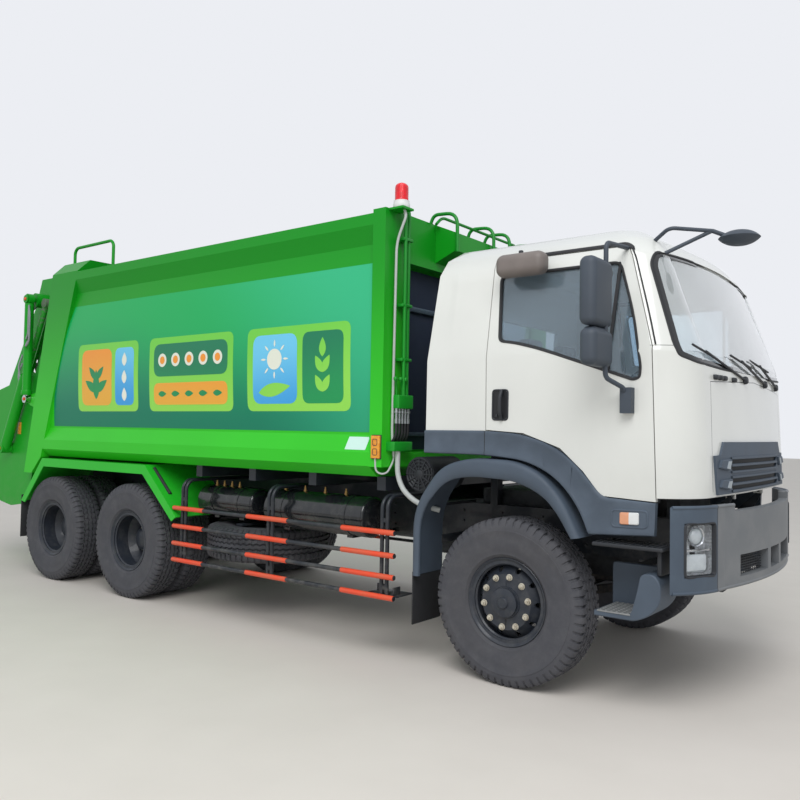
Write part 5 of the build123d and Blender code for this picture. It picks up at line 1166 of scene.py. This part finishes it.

# Grille
# A slate moulding on the front panel: a smooth header over two rows of slats, with raised
# # wing blocks at their ends, and a near-black sheet behind them as painted shade in the opening.
dress(slate, "grille")
# Painted shade: a near-black sheet on the panel behind the slats stands for the shade in the
# grille's opening.
grille_shade_sheet = enamel("grille_painted_shade", (17, 19, 22), 0.6, 0.1, 1.0, 0.0)
gap_y = np.linspace(-0.62, 0.62, 33)[None, :]
gap = on_front(gap_y, np.linspace(1.306, 1.508, 5)[:, None], 0.0035)
Surface().grid(gap).piece("grille_gap", "cab", "dark_plastic", grille_shade_sheet, sheet=True)
wings, inserts = Surface(), Surface()
for side in (-1, 1):
    for low, high in ((1.318, 1.380), (1.434, 1.500)):
        wing = rounded([(side * 0.800, low + 0.018), (side * 0.640, low), (side * 0.595, high),
                        (side * 0.765, high)], 0.008, 4)
        strip(wings, wing, [(0, 0.010), (0, 0.026), (-0.005, 0.030)], on_front)
        face = rounded([(side * 0.793, low + 0.021), (side * 0.643, low + 0.005),
                        (side * 0.602, high - 0.005), (side * 0.764, high - 0.005)], 0.006, 4)
        cover(wings, face, on_front, 0.030)
        insert = rounded([(side * 0.700, low + 0.014), (side * 0.646, low + 0.008),
                          (side * 0.616, high - 0.010), (side * 0.668, high - 0.010)], 0.004, 4)
        strip(inserts, insert, [(0, 0.028), (0, 0.033)], on_front)
        cover(inserts, insert, on_front, 0.033, 4)
for row in (1.312, 1.428):
    for height in (row - 0.006, row + 0.035, row + 0.079):
        y = np.linspace(-0.585, 0.585, 40)
        wings.grid(band(np.stack([y, np.full(40, height)], -1),
                        [(-0.0075, 0.012), (-0.0055, 0.022), (0.0055, 0.022), (0.0075, 0.012)],
                        on_front, closed=False), round_columns=True)
wings.piece("grille_slats", "cab", "dark_plastic", slate)
pale_insert = plastic("pale_insert", (150, 158, 164), 0.35)
inserts.piece("grille_inserts", "cab", "dark_plastic", pale_insert)

# Wipers and washers
# Three black sprung arms with rubber blades on capped pivots, and four moulded washer blocks
# on a rail below the glass.
dress(black_plastic, "wipers")
washers = Surface()
for across in (-0.760, -0.690, -0.620, -0.450):
    at = on_front(np.array(across), np.array(1.995), 0.0).reshape(3)
    block(washers, at + (-0.020, -0.026, -0.014), at + (0.022, 0.026, 0.016), 0.010, start=0)
for across in (-0.225, 0.290, 0.720):
    at = on_front(np.array(across), np.array(2.006), 0.0).reshape(3)
    lathe(washers, [(0.026, -0.01), (0.026, 0.014), (0.020, 0.024), (0.0, 0.026)], at, (1, 0, 0.1),
          20)
washers.piece("washer_nozzles", "cab", "dark_plastic", black_plastic)

# Inside the cab
# A soft grained dashboard with the steering wheel, and three seats of grey woven cloth over
# moulded foam.
dress(plastic("dashboard_grey", (62, 66, 70), 0.6), "dashboard")


def pad(low, high, lean=0.0, squareness=0.28, rows=28, columns=48):
    """A crowned cushion: half size × sign × |cos or sin| to a small power, so its faces bulge
    a little and its sides pull in between the corners. lean moves points along x with height,
    and two sewn channels press in by 5 mm at a third of the width each side."""
    low, high = np.asarray(low, float), np.asarray(high, float)
    rise = np.linspace(-np.pi / 2, np.pi / 2, rows)[:, None]
    turn = np.linspace(0, 2 * np.pi, columns, endpoint=False)[None, :]

    def power(value, to):
        return np.sign(value) * np.abs(value) ** to

    way = np.stack([power(np.cos(rise), 0.35) * power(np.cos(turn), squareness),
                    power(np.cos(rise), 0.35) * power(np.sin(turn), squareness),
                    power(np.sin(rise), 0.35) + 0 * turn], -1)
    channel = np.exp(-((np.abs(way[..., 1]) - 0.62) / 0.03) ** 2) * 0.05
    at = (low + high) / 2 + (high - low) / 2 * way * (1 - channel[..., None] * (1, 0, 1))
    at[..., 0] -= lean * (at[..., 2] - low[2])
    return at


f = Finish("seat_cloth")
warp = (f.y * 1400).math("SINE")
weft = (f.z * 1400).math("SINE") + (f.x * 1400).math("SINE")
weave = warp * weft
fade = f.noise(0.2, 4.0)
seat_cloth = f.done(base_color=f.blend(fade, linear(62, 66, 74), linear(84, 88, 96)),
                    roughness=fade * 0.1 + 0.85, normal=f.bump(weave, 0.0004), sheen_weight=0.3)
SEAT_TOP = 1.53
for name, middle, half in (("driver", 0.62, 0.25), ("middle", 0.0, 0.19),
                           ("passenger", -0.62, 0.25)):
    for part, low, high, lean in (
            ("cushion", (-0.33, -half, SEAT_TOP), (0.18, half, SEAT_TOP + 0.2), 0.0),
            ("back", (-0.47, -half, SEAT_TOP + 0.17), (-0.32, half, SEAT_TOP + 0.70), 0.10),
            ("headrest", (-0.515, -0.12, SEAT_TOP + 0.70), (-0.405, 0.12, SEAT_TOP + 0.86), 0)):
        cushion = Surface().grid(pad((AXLE + low[0], middle + low[1], low[2]),
                                     (AXLE + high[0], middle + high[1], high[2]), lean),
                                 round_columns=True)
        cushion.piece(f"seat_{part}_{name}", "cab", "seat_cloth", seat_cloth, "seats",
                                sharp=80)

# Load body
# Pressed and welded sheet in sprayed green, which darkens towards the top as painted shade. A
# # printed film covers each side between the frames: a teal field of soft bands with three plain
# # cards of leaf, drop and sun shapes.
REAR_FOOT = AXLE - 6.038
BODY_SIDE, BODY_MIDDLE, BODY_HALF, BODY_BOW = 1.238, 2.3095, 0.7045, 0.038
FILM_LIFT, FILM_STEP = 0.0012, 0.0006


def on_body(side):
    """Places side view points on the body's side sheet, an arc that stands out by BODY_BOW
    at BODY_MIDDLE and falls back by as much in BODY_HALF above and below it."""
    radius = (BODY_HALF ** 2 + BODY_BOW ** 2) / (2 * BODY_BOW)

    def place(along, height, lift):
        across = BODY_SIDE - radius + np.sqrt(radius ** 2 - (height - BODY_MIDDLE) ** 2) + lift
        return np.stack(np.broadcast_arrays(AXLE + along, side * across, height), -1)
    return place


def print_film(name, low_shade, high_shade, low, high):
    """Glossy printed vinyl: one shade turns into another with height, in slow waves."""
    f = Finish(name)
    wave = (f.x * 1.7 + f.noise(1.2, 1.0) * 1.5).math("SINE") * 0.10
    fade = (f.z + wave).ramp(low, high)
    colour = f.blend(fade, linear(*low_shade), linear(*high_shade))
    if name == "film_field":
        front = (f.x + f.z * 0.8).ramp(AXLE - 1.1, AXLE + 0.9, 0.0, 0.8)
        colour = f.blend(front, colour, linear(52, 184, 134))
    specks = f.noise(0.004, 2.0)
    return f.done(base_color=colour,
                  roughness=specks * 0.08 + 0.28, normal=f.bump(specks, 0.00005),
                  coat_weight=0.05, coat_roughness=0.1, specular_ior_level=0.35)


field_low = np.stack([np.linspace(-5.515, -1.100, 40), np.full(40, 1.625)], -1)
field_high = np.stack([np.linspace(-5.150, -1.100, 40), np.full(40, 2.872)], -1)
films = {key: Surface() for key in ("field", "label", "lime", "orange", "sky", "leaf", "cream")}


def fine(outline, step=0.04):
    """A closed outline with more points, so its straight sides follow a bowed skin."""
    ends = np.concatenate([outline, outline[:1]])
    run = np.concatenate([[0], np.cumsum(np.linalg.norm(np.diff(ends, axis=0), axis=1))])
    at = np.union1d(np.arange(0, run[-1], step), run[:-1])
    return np.stack([np.interp(at, run, ends[:, k]) for k in (0, 1)], -1)


def disc(x, z, radius, steps=24):
    """A circle's outline."""
    turn = np.linspace(0, 2 * np.pi, steps, endpoint=False)
    return np.stack([x + radius * np.cos(turn), z + radius * np.sin(turn)], -1)


def leaf(x, z, long, turn, slim=0.30, steps=14):
    """A leaf's outline: its half width is slim × long × sin of the share to a power of 0.8."""
    share = np.linspace(0, 1, steps)
    half = slim * long * np.sin(np.pi * share) ** 0.8 * (1.15 - 0.5 * share)
    line = np.concatenate([np.stack([share * long, half], -1),
                           np.stack([share * long, -half], -1)[-2:0:-1]])
    spin = np.array([(math.cos(turn), math.sin(turn)), (-math.sin(turn), math.cos(turn))])
    return np.array((x, z)) + line @ spin


def card(left, low, right, high, bend):
    """A rounded card's outline between two heights."""
    return fine(plate(left, low, right, high, bend))


for side in (-1, 1):
    place = on_body(side)
    share = np.linspace(0, 1, 16)[:, None, None]
    field = field_low + share * (field_high - field_low)
    pull = np.sin(np.pi * share[..., 0]) * 0.09 * np.linspace(1, 0, 40)[None, :] ** 3
    films["field"].grid(place(field[..., 0] - pull, field[..., 1], FILM_LIFT))
    for key, outline, level in (
            *(("lime", card(left, 1.78, right, 2.46, 0.07), 1)
              for left, right in ((-5.02, -3.98), (-3.80, -2.62), (-2.44, -1.30))),
            ("orange", card(-4.95, 1.84, -4.42, 2.40, 0.09), 2),
            ("sky", card(-4.36, 1.84, -4.05, 2.40, 0.07), 2),
            ("leaf", card(-3.73, 2.10, -2.69, 2.40, 0.09), 2),
            ("orange", card(-3.73, 1.84, -2.69, 2.04, 0.07), 2),
            ("sky", card(-2.37, 1.84, -1.86, 2.40, 0.09), 2),
            ("leaf", card(-1.80, 1.84, -1.37, 2.40, 0.07), 2)):
        cover(films[key], outline, place, FILM_LIFT + FILM_STEP * level)
    marks = []
    for z, long, turn in ((1.90, 0.30, 90), (1.98, 0.22, 30), (1.98, 0.22, 150),
                          (2.10, 0.18, 45), (2.10, 0.18, 135)):
        marks.append(("leaf", leaf(-4.69, z, long, math.radians(turn), 0.22)))
    for z in (1.93, 2.10, 2.27):
        marks.append(("cream", leaf(-4.205, z - 0.05, 0.13, math.radians(90), 0.33)))
    for x in np.linspace(-3.60, -2.82, 5):
        marks.append(("cream", disc(x, 2.25, 0.062)))
        marks.append(("orange", disc(x, 2.25, 0.036)))
        marks.append(("leaf", leaf(x - 0.06, 1.94, 0.12, 0.0, 0.24)))
    marks.append(("cream", disc(-2.115, 2.20, 0.085)))
    for turn in np.radians(np.arange(0, 360, 45)):
        marks.append(("cream", leaf(-2.115 + 0.10 * math.cos(turn), 2.20 + 0.10 * math.sin(turn),
                                    0.06, turn, 0.16)))
    marks.append(("lime", leaf(-2.30, 1.93, 0.37, math.radians(8), 0.16)))
    for z, turn in ((1.93, 60), (1.93, 120), (2.08, 60), (2.08, 120), (2.20, 90)):
        marks.append(("lime", leaf(-1.585, z, 0.15, math.radians(turn), 0.26)))
    for key, outline in marks:
        level = {"orange": 5, "cream": 4}.get(key, 3.4)
        cover(films[key], outline, place, FILM_LIFT + FILM_STEP * level, 3)
for side in (-1, 1):
    # A blank paper square on the sill's slope
    ends = np.array([[(-1.335, 1.495), (-1.135, 1.495)], [(-1.320, 1.590), (-1.120, 1.590)]])
    slope = np.interp(ends[..., 1], (1.478, 1.605), (1.2515, 1.2015))
    films["label"].grid(np.stack([AXLE + ends[..., 0], side * slope, ends[..., 1]], -1))
SHADES = {"field": ((0, 124, 94), (6, 170, 88), 1.7, 2.7),
          "label": ((204, 236, 226), (120, 212, 196), 1.49, 1.60),
          "lime": ((146, 220, 84), (112, 204, 70), 1.8, 2.5),
          "orange": ((236, 176, 62), (240, 150, 52), 1.8, 2.4),
          "sky": ((60, 160, 226), (110, 200, 236), 1.8, 2.4),
          "leaf": ((30, 150, 84), (20, 122, 84), 1.8, 2.4),
          "cream": ((240, 240, 226), (226, 230, 214), 1.8, 2.4)}
for key, surface in films.items():
    surface.piece(f"side_film_{key}", "chassis", "body_green", print_film(f"film_{key}",
                                                                          *SHADES[key]))

# Body front
# A dark mesh panel between the front posts, with two steel riser pipes, a grey conduit, the
# valve block with its levers and hose unions, and tubes and a work lamp above.
f = Finish("screen_mesh")
holes = (f.y * 420).math("SINE") * (f.z * 420).math("SINE")
shade = f.noise(0.3, 3.0)
screen_mesh = f.done(base_color=f.blend(holes.ramp(0, 0.3), linear(16, 34, 62),
                                        linear(8, 16, 32)),
                     roughness=shade * 0.2 + 0.6, normal=f.bump(holes, 0.001))
SCREEN_X = AXLE - 1.088
blocks([((0, -0.985, 1.495), (0.012, 0.985, 2.885))], 0.004, start=SCREEN_X).piece(
    "front_screen", "chassis", "frame_paint", screen_mesh)
rungs = blocks([((0.006, -0.98, 2.56), (0.036, 0.98, 2.60)),
                ((0.006, -0.98, 1.60), (0.036, 0.98, 1.63))], 0.006, start=SCREEN_X)
f = Finish("galvanised")
spangle = f.node("ShaderNodeTexVoronoi", {"Vector": f.place, "Scale": 90.0})
zinc = f.noise(0.02, 4.0)
galvanised = f.done(base_color=f.blend(spangle.ramp(0.0, 0.8), linear(70, 86, 104),
                                       linear(96, 110, 124)),
                    roughness=zinc * 0.2 + 0.38, metallic=0.6, normal=f.bump(zinc, 0.0002))
rungs.piece("front_rungs", "chassis", "frame_paint", galvanised)
# Painted shade: the pipes' green darkens from 1.6 m up to 3.2 m.
pipe_green = enamel("pipe_green", (26, 152, 42), 0.34, 0.2, 1.2, 0.1, ((18, 130, 36), 1.6, 3.2))
pipes = Surface()


def bent_rod(surface, corners, bends, radius, sides=12, start=AXLE, steps=7, up=(0, 1, 0)):
    """Adds a rod along a bent route, whose corners' first numbers count from start."""
    rod(surface, bent(np.array(corners) + (start, 0, 0), bends, steps), radius, sides, up)


for across, along in ((-1.085, -0.915), (-1.030, -0.927)):
    bent_rod(pipes, [(-1.02, across, 3.335), (along, across, 3.325), (along, across, 1.86)],
             0.10, 0.013, 14)
for height in (3.05, 2.56, 2.16):
    block(pipes, (-0.990, -1.115, height - 0.012), (-0.905, -1.000, height + 0.012), 0.006, 2)
# Roof tubes and ribs on the hump
for across in (-0.64, -0.10, 0.16, 0.64):
    bent_rod(pipes, [(-1.020, across, 3.245), (-0.985, across, 3.340), (-0.760, across, 3.325),
                     (-0.755, across, 3.020)], (0.05, 0.10), 0.014, 14)
bent_rod(pipes, [(-0.93, -0.68, 3.250), (-0.93, -0.60, 3.320), (-0.93, 0.56, 3.320),
                 (-0.93, 0.66, 3.250)], 0.05, 0.012, 14, up=(0, 0, 1))
# Valve block, its bracket and three hand levers
for low, high in (((-0.975, -1.16, 1.80), (-0.895, -0.985, 1.90)),
                  ((-0.985, -1.20, 1.49), (-0.900, -0.98, 1.56)),
                  ((-0.975, -1.10, 1.56), (-0.955, -1.02, 1.80))):
    block(pipes, low, high, 0.008)
for across in (-1.14, -1.08, -1.02):
    bent_rod(pipes, [(-0.935, across, 1.89), (-0.935, across, 1.965),
                     (-0.905, across - 0.05, 2.01)], 0.03, 0.007, 10)
    block(pipes, (-0.919, across - 0.068, 1.998), (-0.891, across - 0.036, 2.030), 0.013)
pipes.piece("riser_pipes", "chassis", "body_green", pipe_green)
hose_union = mottled("hose_union", ((196, 200, 204), (142, 146, 150)), (0.008, 4.0), (0.25, 0.2),
                     0.0002, metallic=0.85)
UNION = [(0.0, 0.0), (0.012, 0.0), (0.012, 0.016), (0.016, 0.018), (0.016, 0.034), (0.010, 0.036),
         (0.010, 0.075), (0.013, 0.077), (0.013, 0.110), (0.0, 0.110)]
unions, grey_lines = Surface(), Surface()
for across in (-1.150, -1.115, -1.080, -1.045, -1.010):
    lathe(unions, UNION, (AXLE - 0.925, across, 1.802), (0, 0, -1), 12)
    bent_rod(grey_lines, [(-0.925, across, 1.70), (-0.925, across, 1.60),
                          (-0.965, across, 1.555)], 0.04, 0.010)
unions.piece("hose_unions", "chassis", "frame_paint", hose_union)
grey_lines.piece("valve_hoses", "chassis", "dark_plastic", black_rubber)
conduit_grey = plastic("conduit_grey", (178, 182, 180), 0.45)
conduits = Surface()
bent_rod(conduits, [(-0.885, -1.150, 3.262), (-0.865, -1.150, 3.200), (-0.945, -1.155, 3.02),
                    (-0.958, -1.155, 1.62), (-0.958, -1.130, 1.45)], (0.03, 0.08, 0.05), 0.010)
bent_rod(conduits, [(-0.930, -1.120, 1.50), (-0.925, -1.125, 1.28), (-0.80, -1.110, 1.13),
                    (-0.62, -1.02, 1.08)], (0.10, 0.12), 0.019, 14)
bent_rod(conduits, [(-1.030, -1.255, 1.440), (-1.028, -1.250, 1.330), (-0.965, -1.200, 1.325),
                    (-0.960, -1.130, 1.420), (-0.965, -1.110, 1.500)], (0.05, 0.04, 0.04), 0.007)
conduits.piece("conduits", "chassis", "dark_plastic", conduit_grey)
work_lamp = Surface()
lamp_at = (AXLE - 0.770, 0.560, 3.205)
lathe(work_lamp, [(0.0, -0.045), (0.028, -0.040), (0.044, -0.012), (0.050, 0.0), (0.050, 0.012),
                  (0.045, 0.014), (0.045, 0.006), (0.0, 0.010)], lamp_at, (0.9, -0.35, -0.2), 32)
rod(work_lamp, [(AXLE - 0.785, 0.560, height) for height in (3.06, 3.12, 3.19)], 0.009, 12,
    (1, 0, 0))
work_lamp.piece("work_lamp", "chassis", "lamp_glass", hose_union)

# Beacon and side markers
# A ribbed red polycarbonate dome on a white base, and an amber lamp in a black case on each
# front post.
beacon_base, beacon_dome, marker_cases, marker_lenses = (Surface() for _ in range(4))
beacon_at = (AXLE - 0.910, -1.150, 3.262)
lathe(beacon_base, [(0.0, 0.0), (0.060, 0.0), (0.062, 0.006), (0.062, 0.030), (0.058, 0.038),
                    (0.058, 0.052), (0.050, 0.056), (0.0, 0.056)], beacon_at, (0, 0, 1), 40)
DOME_RADIUS, DOME_FOOT, DOME_HEAD, DOME_RISE = 0.049, 0.054, 0.154, 0.034
RIB_DEPTH, RIB_STEP, RIBS = 0.0015, 0.007, 15
ribbed = [(DOME_RADIUS + (RIB_DEPTH if k % 2 else 0), DOME_FOOT + RIB_STEP * k)
          for k in range(RIBS)]
lathe(beacon_dome, [(0.0, DOME_FOOT)] + ribbed + dome(DOME_RADIUS, DOME_RISE, 9, DOME_HEAD),
      beacon_at, (0, 0, 1), 40)
for side in (-1, 1):
    block(marker_cases, (-1.066, side * 1.249, 1.432), (-0.976, side * 1.256, 1.608), 0.003, 2)
    block(marker_lenses, (-1.061, side * 1.252, 1.438), (-0.982, side * 1.272, 1.602), 0.005)
    for low in (1.462, 1.532):
        ring = plate(-1.042, low, -1.002, low + 0.045, 0.010, 4)
        rod(marker_cases, lay(np.concatenate([ring, ring[:1]]), side * 1.2725), 0.0022, 6,
            (0, 1, 0), caps=False)
white_plastic = plastic("white_plastic", (206, 208, 206), 0.4)
beacon_base.piece("beacon_base", "chassis", "lamp_glass", white_plastic, "marker_lamps")


def lens(name, shade, deep):
    """Moulded lamp plastic: glossy, a little deeper in cloudy places, with fine prisms."""
    f = Finish(name)
    cloud = f.noise(0.03, 3.0)
    prisms = (f.z * 1400).math("SINE")
    return f.done(base_color=f.blend(cloud.ramp(0.3, 0.7), linear(*shade), linear(*deep)),
                  roughness=cloud * 0.1 + 0.16, normal=f.bump(prisms, 0.0003), coat_weight=0.2)


beacon_dome.piece("beacon_dome", "chassis", "lamp_glass",
                  lens("beacon_red", (236, 14, 34), (206, 4, 22)), "marker_lamps")
marker_cases.piece("marker_cases", "chassis", "dark_plastic", black_plastic, "marker_lamps")
amber = lens("marker_amber", (240, 166, 52), (222, 138, 36))
marker_lenses.piece("marker_lenses", "chassis", "lamp_glass", amber, "marker_lamps")

# Ejector and hopper steel
# Welded plate that the load rubs: the ejector, the trough, the packer's carriage and its
# blade. Their green paint is scraped through to dull steel in patches.
f = Finish("worn_green")
rubbed = f.noise(0.35, 6.0, 0.7)
scrape = f.noise(0.02, 5.0, 0.6, f.stretched(1, 0.15, 1))
bare = (rubbed * 0.7 + scrape * 0.5).ramp(0.60, 0.72)
worn_green = f.done(base_color=f.blend(bare, linear(26, 150, 34), linear(112, 120, 108)),
                    roughness=bare * 0.1 + 0.42, metallic=bare * 0.25,
                    normal=f.bump(scrape, 0.0008))
dress(worn_green, "ejector tailgate_trough carriage blade")

# Tailgate
# Heavy plate walls in bright green with bolted pins, and chromed cylinder rods. Orange caps
# close the pins' ends, and grey sleeved hoses loop between the cylinders.
# Painted shade: the tailgate's green darkens from 1.4 m up to 3.2 m.
tail_green = enamel("tail_green", (22, 162, 32), 0.36, 0.2, 1.4, 0.0, ((14, 148, 28), 1.4, 3.2))
dress(tail_green, "tailgate_shell slide_barrels lift_barrels sweep_barrels")
rod_chrome = mottled("rod_chrome", ((206, 208, 210), (180, 183, 186)), (0.05, 3.0), (0.12, 0.08),
                     metallic=1.0)
dress(rod_chrome, "lift_rods sweep_rods")
dress(lens("tail_red", (196, 36, 40), (160, 22, 30)), "rear_lamps")

lift_top, lift_foot = np.array((REAR_FOOT - 0.100, 3.040)), np.array((REAR_FOOT - 0.097, 1.920))
slide_pin = np.array((REAR_FOOT - 0.781, 1.352))
caps_lift, caps_tail, hoses, loops, clamps, glands = (Surface() for _ in range(6))
GLAND_SHARE = 0.91
CAP = [(0.0, 0.014), (0.010, 0.013), (0.018, 0.008), (0.020, 0.0), (0.0, 0.0)]
for side in (-1, 1):
    for at, across, made in ((lift_top, 1.249, caps_tail), (slide_pin, 1.147, caps_tail),
                             (lift_foot, 1.228, caps_lift)):
        lathe(made, CAP, (at[0], side * across, at[1]), (0, side, 0), 20)
    # Two hoses from a bulkhead on the front frame down to the lift cylinder's ports
    for across, depth in ((1.168, 0.26), (1.150, 0.34)):
        bent_rod(hoses, [(-0.10, side * 1.10, 2.98), (-0.20, side * across, 2.90),
                         (-0.23, side * across, 2.90 - depth),
                         (-0.16, side * across, 2.78 - depth),
                         (-0.115, side * 1.16, 2.86 - depth)], (0.06, 0.10, 0.05), 0.011,
                 start=REAR_FOOT, steps=9)
    for across, deep, out in ((1.240, 0.42, 0.135), (1.236, 0.34, 0.100)):
        outer_y = side * (across + 0.022)
        bent_rod(loops, [(0.02, side * 1.205, 2.965), (0.06, side * across, 2.965),
                         (out, outer_y, 2.86), (out, outer_y, 2.965 - deep),
                         (0.055, outer_y, 2.915 - deep), (0.040, side * 1.215, 3.02 - deep)],
                 (0.03, 0.05, 0.05, 0.035), 0.010, start=lift_top[0], steps=9)
    for height in (2.30, 2.20):
        bent_rod(hoses, [(-0.55, side * 1.03, height + 0.15), (-0.56, side * 1.07, height + 0.02),
                         (-0.48, side * 1.08, height - 0.16), (-0.40, side * 1.05, height - 0.02),
                         (-0.38, side * 1.03, height + 0.12)], (0.05, 0.08, 0.05), 0.010,
                 start=REAR_FOOT, steps=9)
    # Gland nuts where the lift rods leave their barrels, and amber markers on the tailgate's sides
    gland = lift_top + (lift_foot - lift_top) * GLAND_SHARE
    lathe(glands, [(0.029, 0.0), (0.056, 0.0), (0.058, 0.006), (0.058, 0.050), (0.054, 0.056),
                   (0.029, 0.056)], (gland[0], side * 1.200, gland[1]), (0, 0, -1), 32,
          round_rows=True)
    for back in (0.56, 1.22):
        block(clamps, (-back - 0.07, side * 1.009, 1.520), (-back, side * 1.018, 1.66), 0.004, 2,
              REAR_FOOT)
orange_cap = lens("pin_orange", (228, 92, 40), (206, 74, 30))
caps_tail.piece("tail_pin_caps", "tailgate", "lamp_glass", orange_cap)
caps_lift.piece("lift_pin_caps", "lift_rods", "lamp_glass", orange_cap)
f = Finish("sleeved_hose")
braid = (f.x * 700).math("SINE") * (f.z * 700).math("SINE")
ageing = f.noise(0.05, 3.0)
sleeved_hose = f.done(base_color=f.blend(ageing, linear(120, 126, 130), linear(150, 155, 158)),
                      roughness=ageing * 0.15 + 0.45, normal=f.bump(braid, 0.0005))
hoses.piece("tail_hoses", "tailgate", "dark_plastic", sleeved_hose)
loops.piece("lift_hoses", "lift_barrels", "dark_plastic", sleeved_hose)
glands.piece("lift_glands", "lift_barrels", "body_green", tail_green)
clamps.piece("tail_markers", "tailgate", "lamp_glass", amber)

# Floor and light
# A plain pale studio floor and an even sky, with one large soft lamp high on the right.
# The camera, and rays by way of gloss or glass, see a pale backdrop in the sky's place.
f = Finish("floor")
speck = f.noise(0.6, 6.0)
floor_material = f.done(base_color=f.blend(speck, linear(212, 205, 197), linear(222, 215, 207)),
                        roughness=0.85)
FLOOR_HALF = 60
floor_mesh = bpy.data.meshes.new("floor")
floor_mesh.from_pydata([(x * FLOOR_HALF, y * FLOOR_HALF, 0)
                        for x, y in ((-1, -1), (1, -1), (1, 1), (-1, 1))], [], [(0, 1, 2, 3)])
floor = bpy.data.objects.new("floor", floor_mesh)
floor_mesh.materials.append(floor_material)
bpy.context.scene.collection.objects.link(floor)

world = bpy.data.worlds.new("sky")
bpy.context.scene.world = world
world.use_nodes = True
sky = world.node_tree
daylight, backdrop = sky.nodes["Background"], sky.nodes.new("ShaderNodeBackground")
daylight.inputs[0].default_value, daylight.inputs[1].default_value = (0.90, 0.95, 1.0, 1), 0.68
backdrop.inputs[0].default_value = (*linear(236, 238, 243), 1)
rays = sky.nodes.new("ShaderNodeLightPath").outputs
bounced, seen = (sky.nodes.new("ShaderNodeMath") for _ in range(2))
for adding in (bounced, seen):
    adding.operation, adding.use_clamp = "ADD", True
either = sky.nodes.new("ShaderNodeMixShader")
for source, socket in (
        (rays["Is Glossy Ray"], bounced.inputs[0]),
        (rays["Is Transmission Ray"], bounced.inputs[1]),
        (rays["Is Camera Ray"], seen.inputs[0]), (bounced.outputs[0], seen.inputs[1]),
        (seen.outputs[0], either.inputs[0]), (daylight.outputs[0], either.inputs[1]),
        (backdrop.outputs[0], either.inputs[2]),
        (either.outputs[0], sky.nodes["World Output"].inputs[0])):
    sky.links.new(source, socket)
lamp_data = bpy.data.lights.new("soft_lamp", "AREA")
lamp_data.shape, lamp_data.size, lamp_data.energy = "DISK", 9.0, 1150
lamp = bpy.data.objects.new("soft_lamp", lamp_data)
lamp.location = (7.0, -9.0, 11.0)
lamp.rotation_euler = (Vector((0, 0, 1.5)) - lamp.location).to_track_quat("-Z", "Y").to_euler()
bpy.context.scene.collection.objects.link(lamp)
bpy.context.scene.view_settings.view_transform = "Standard"
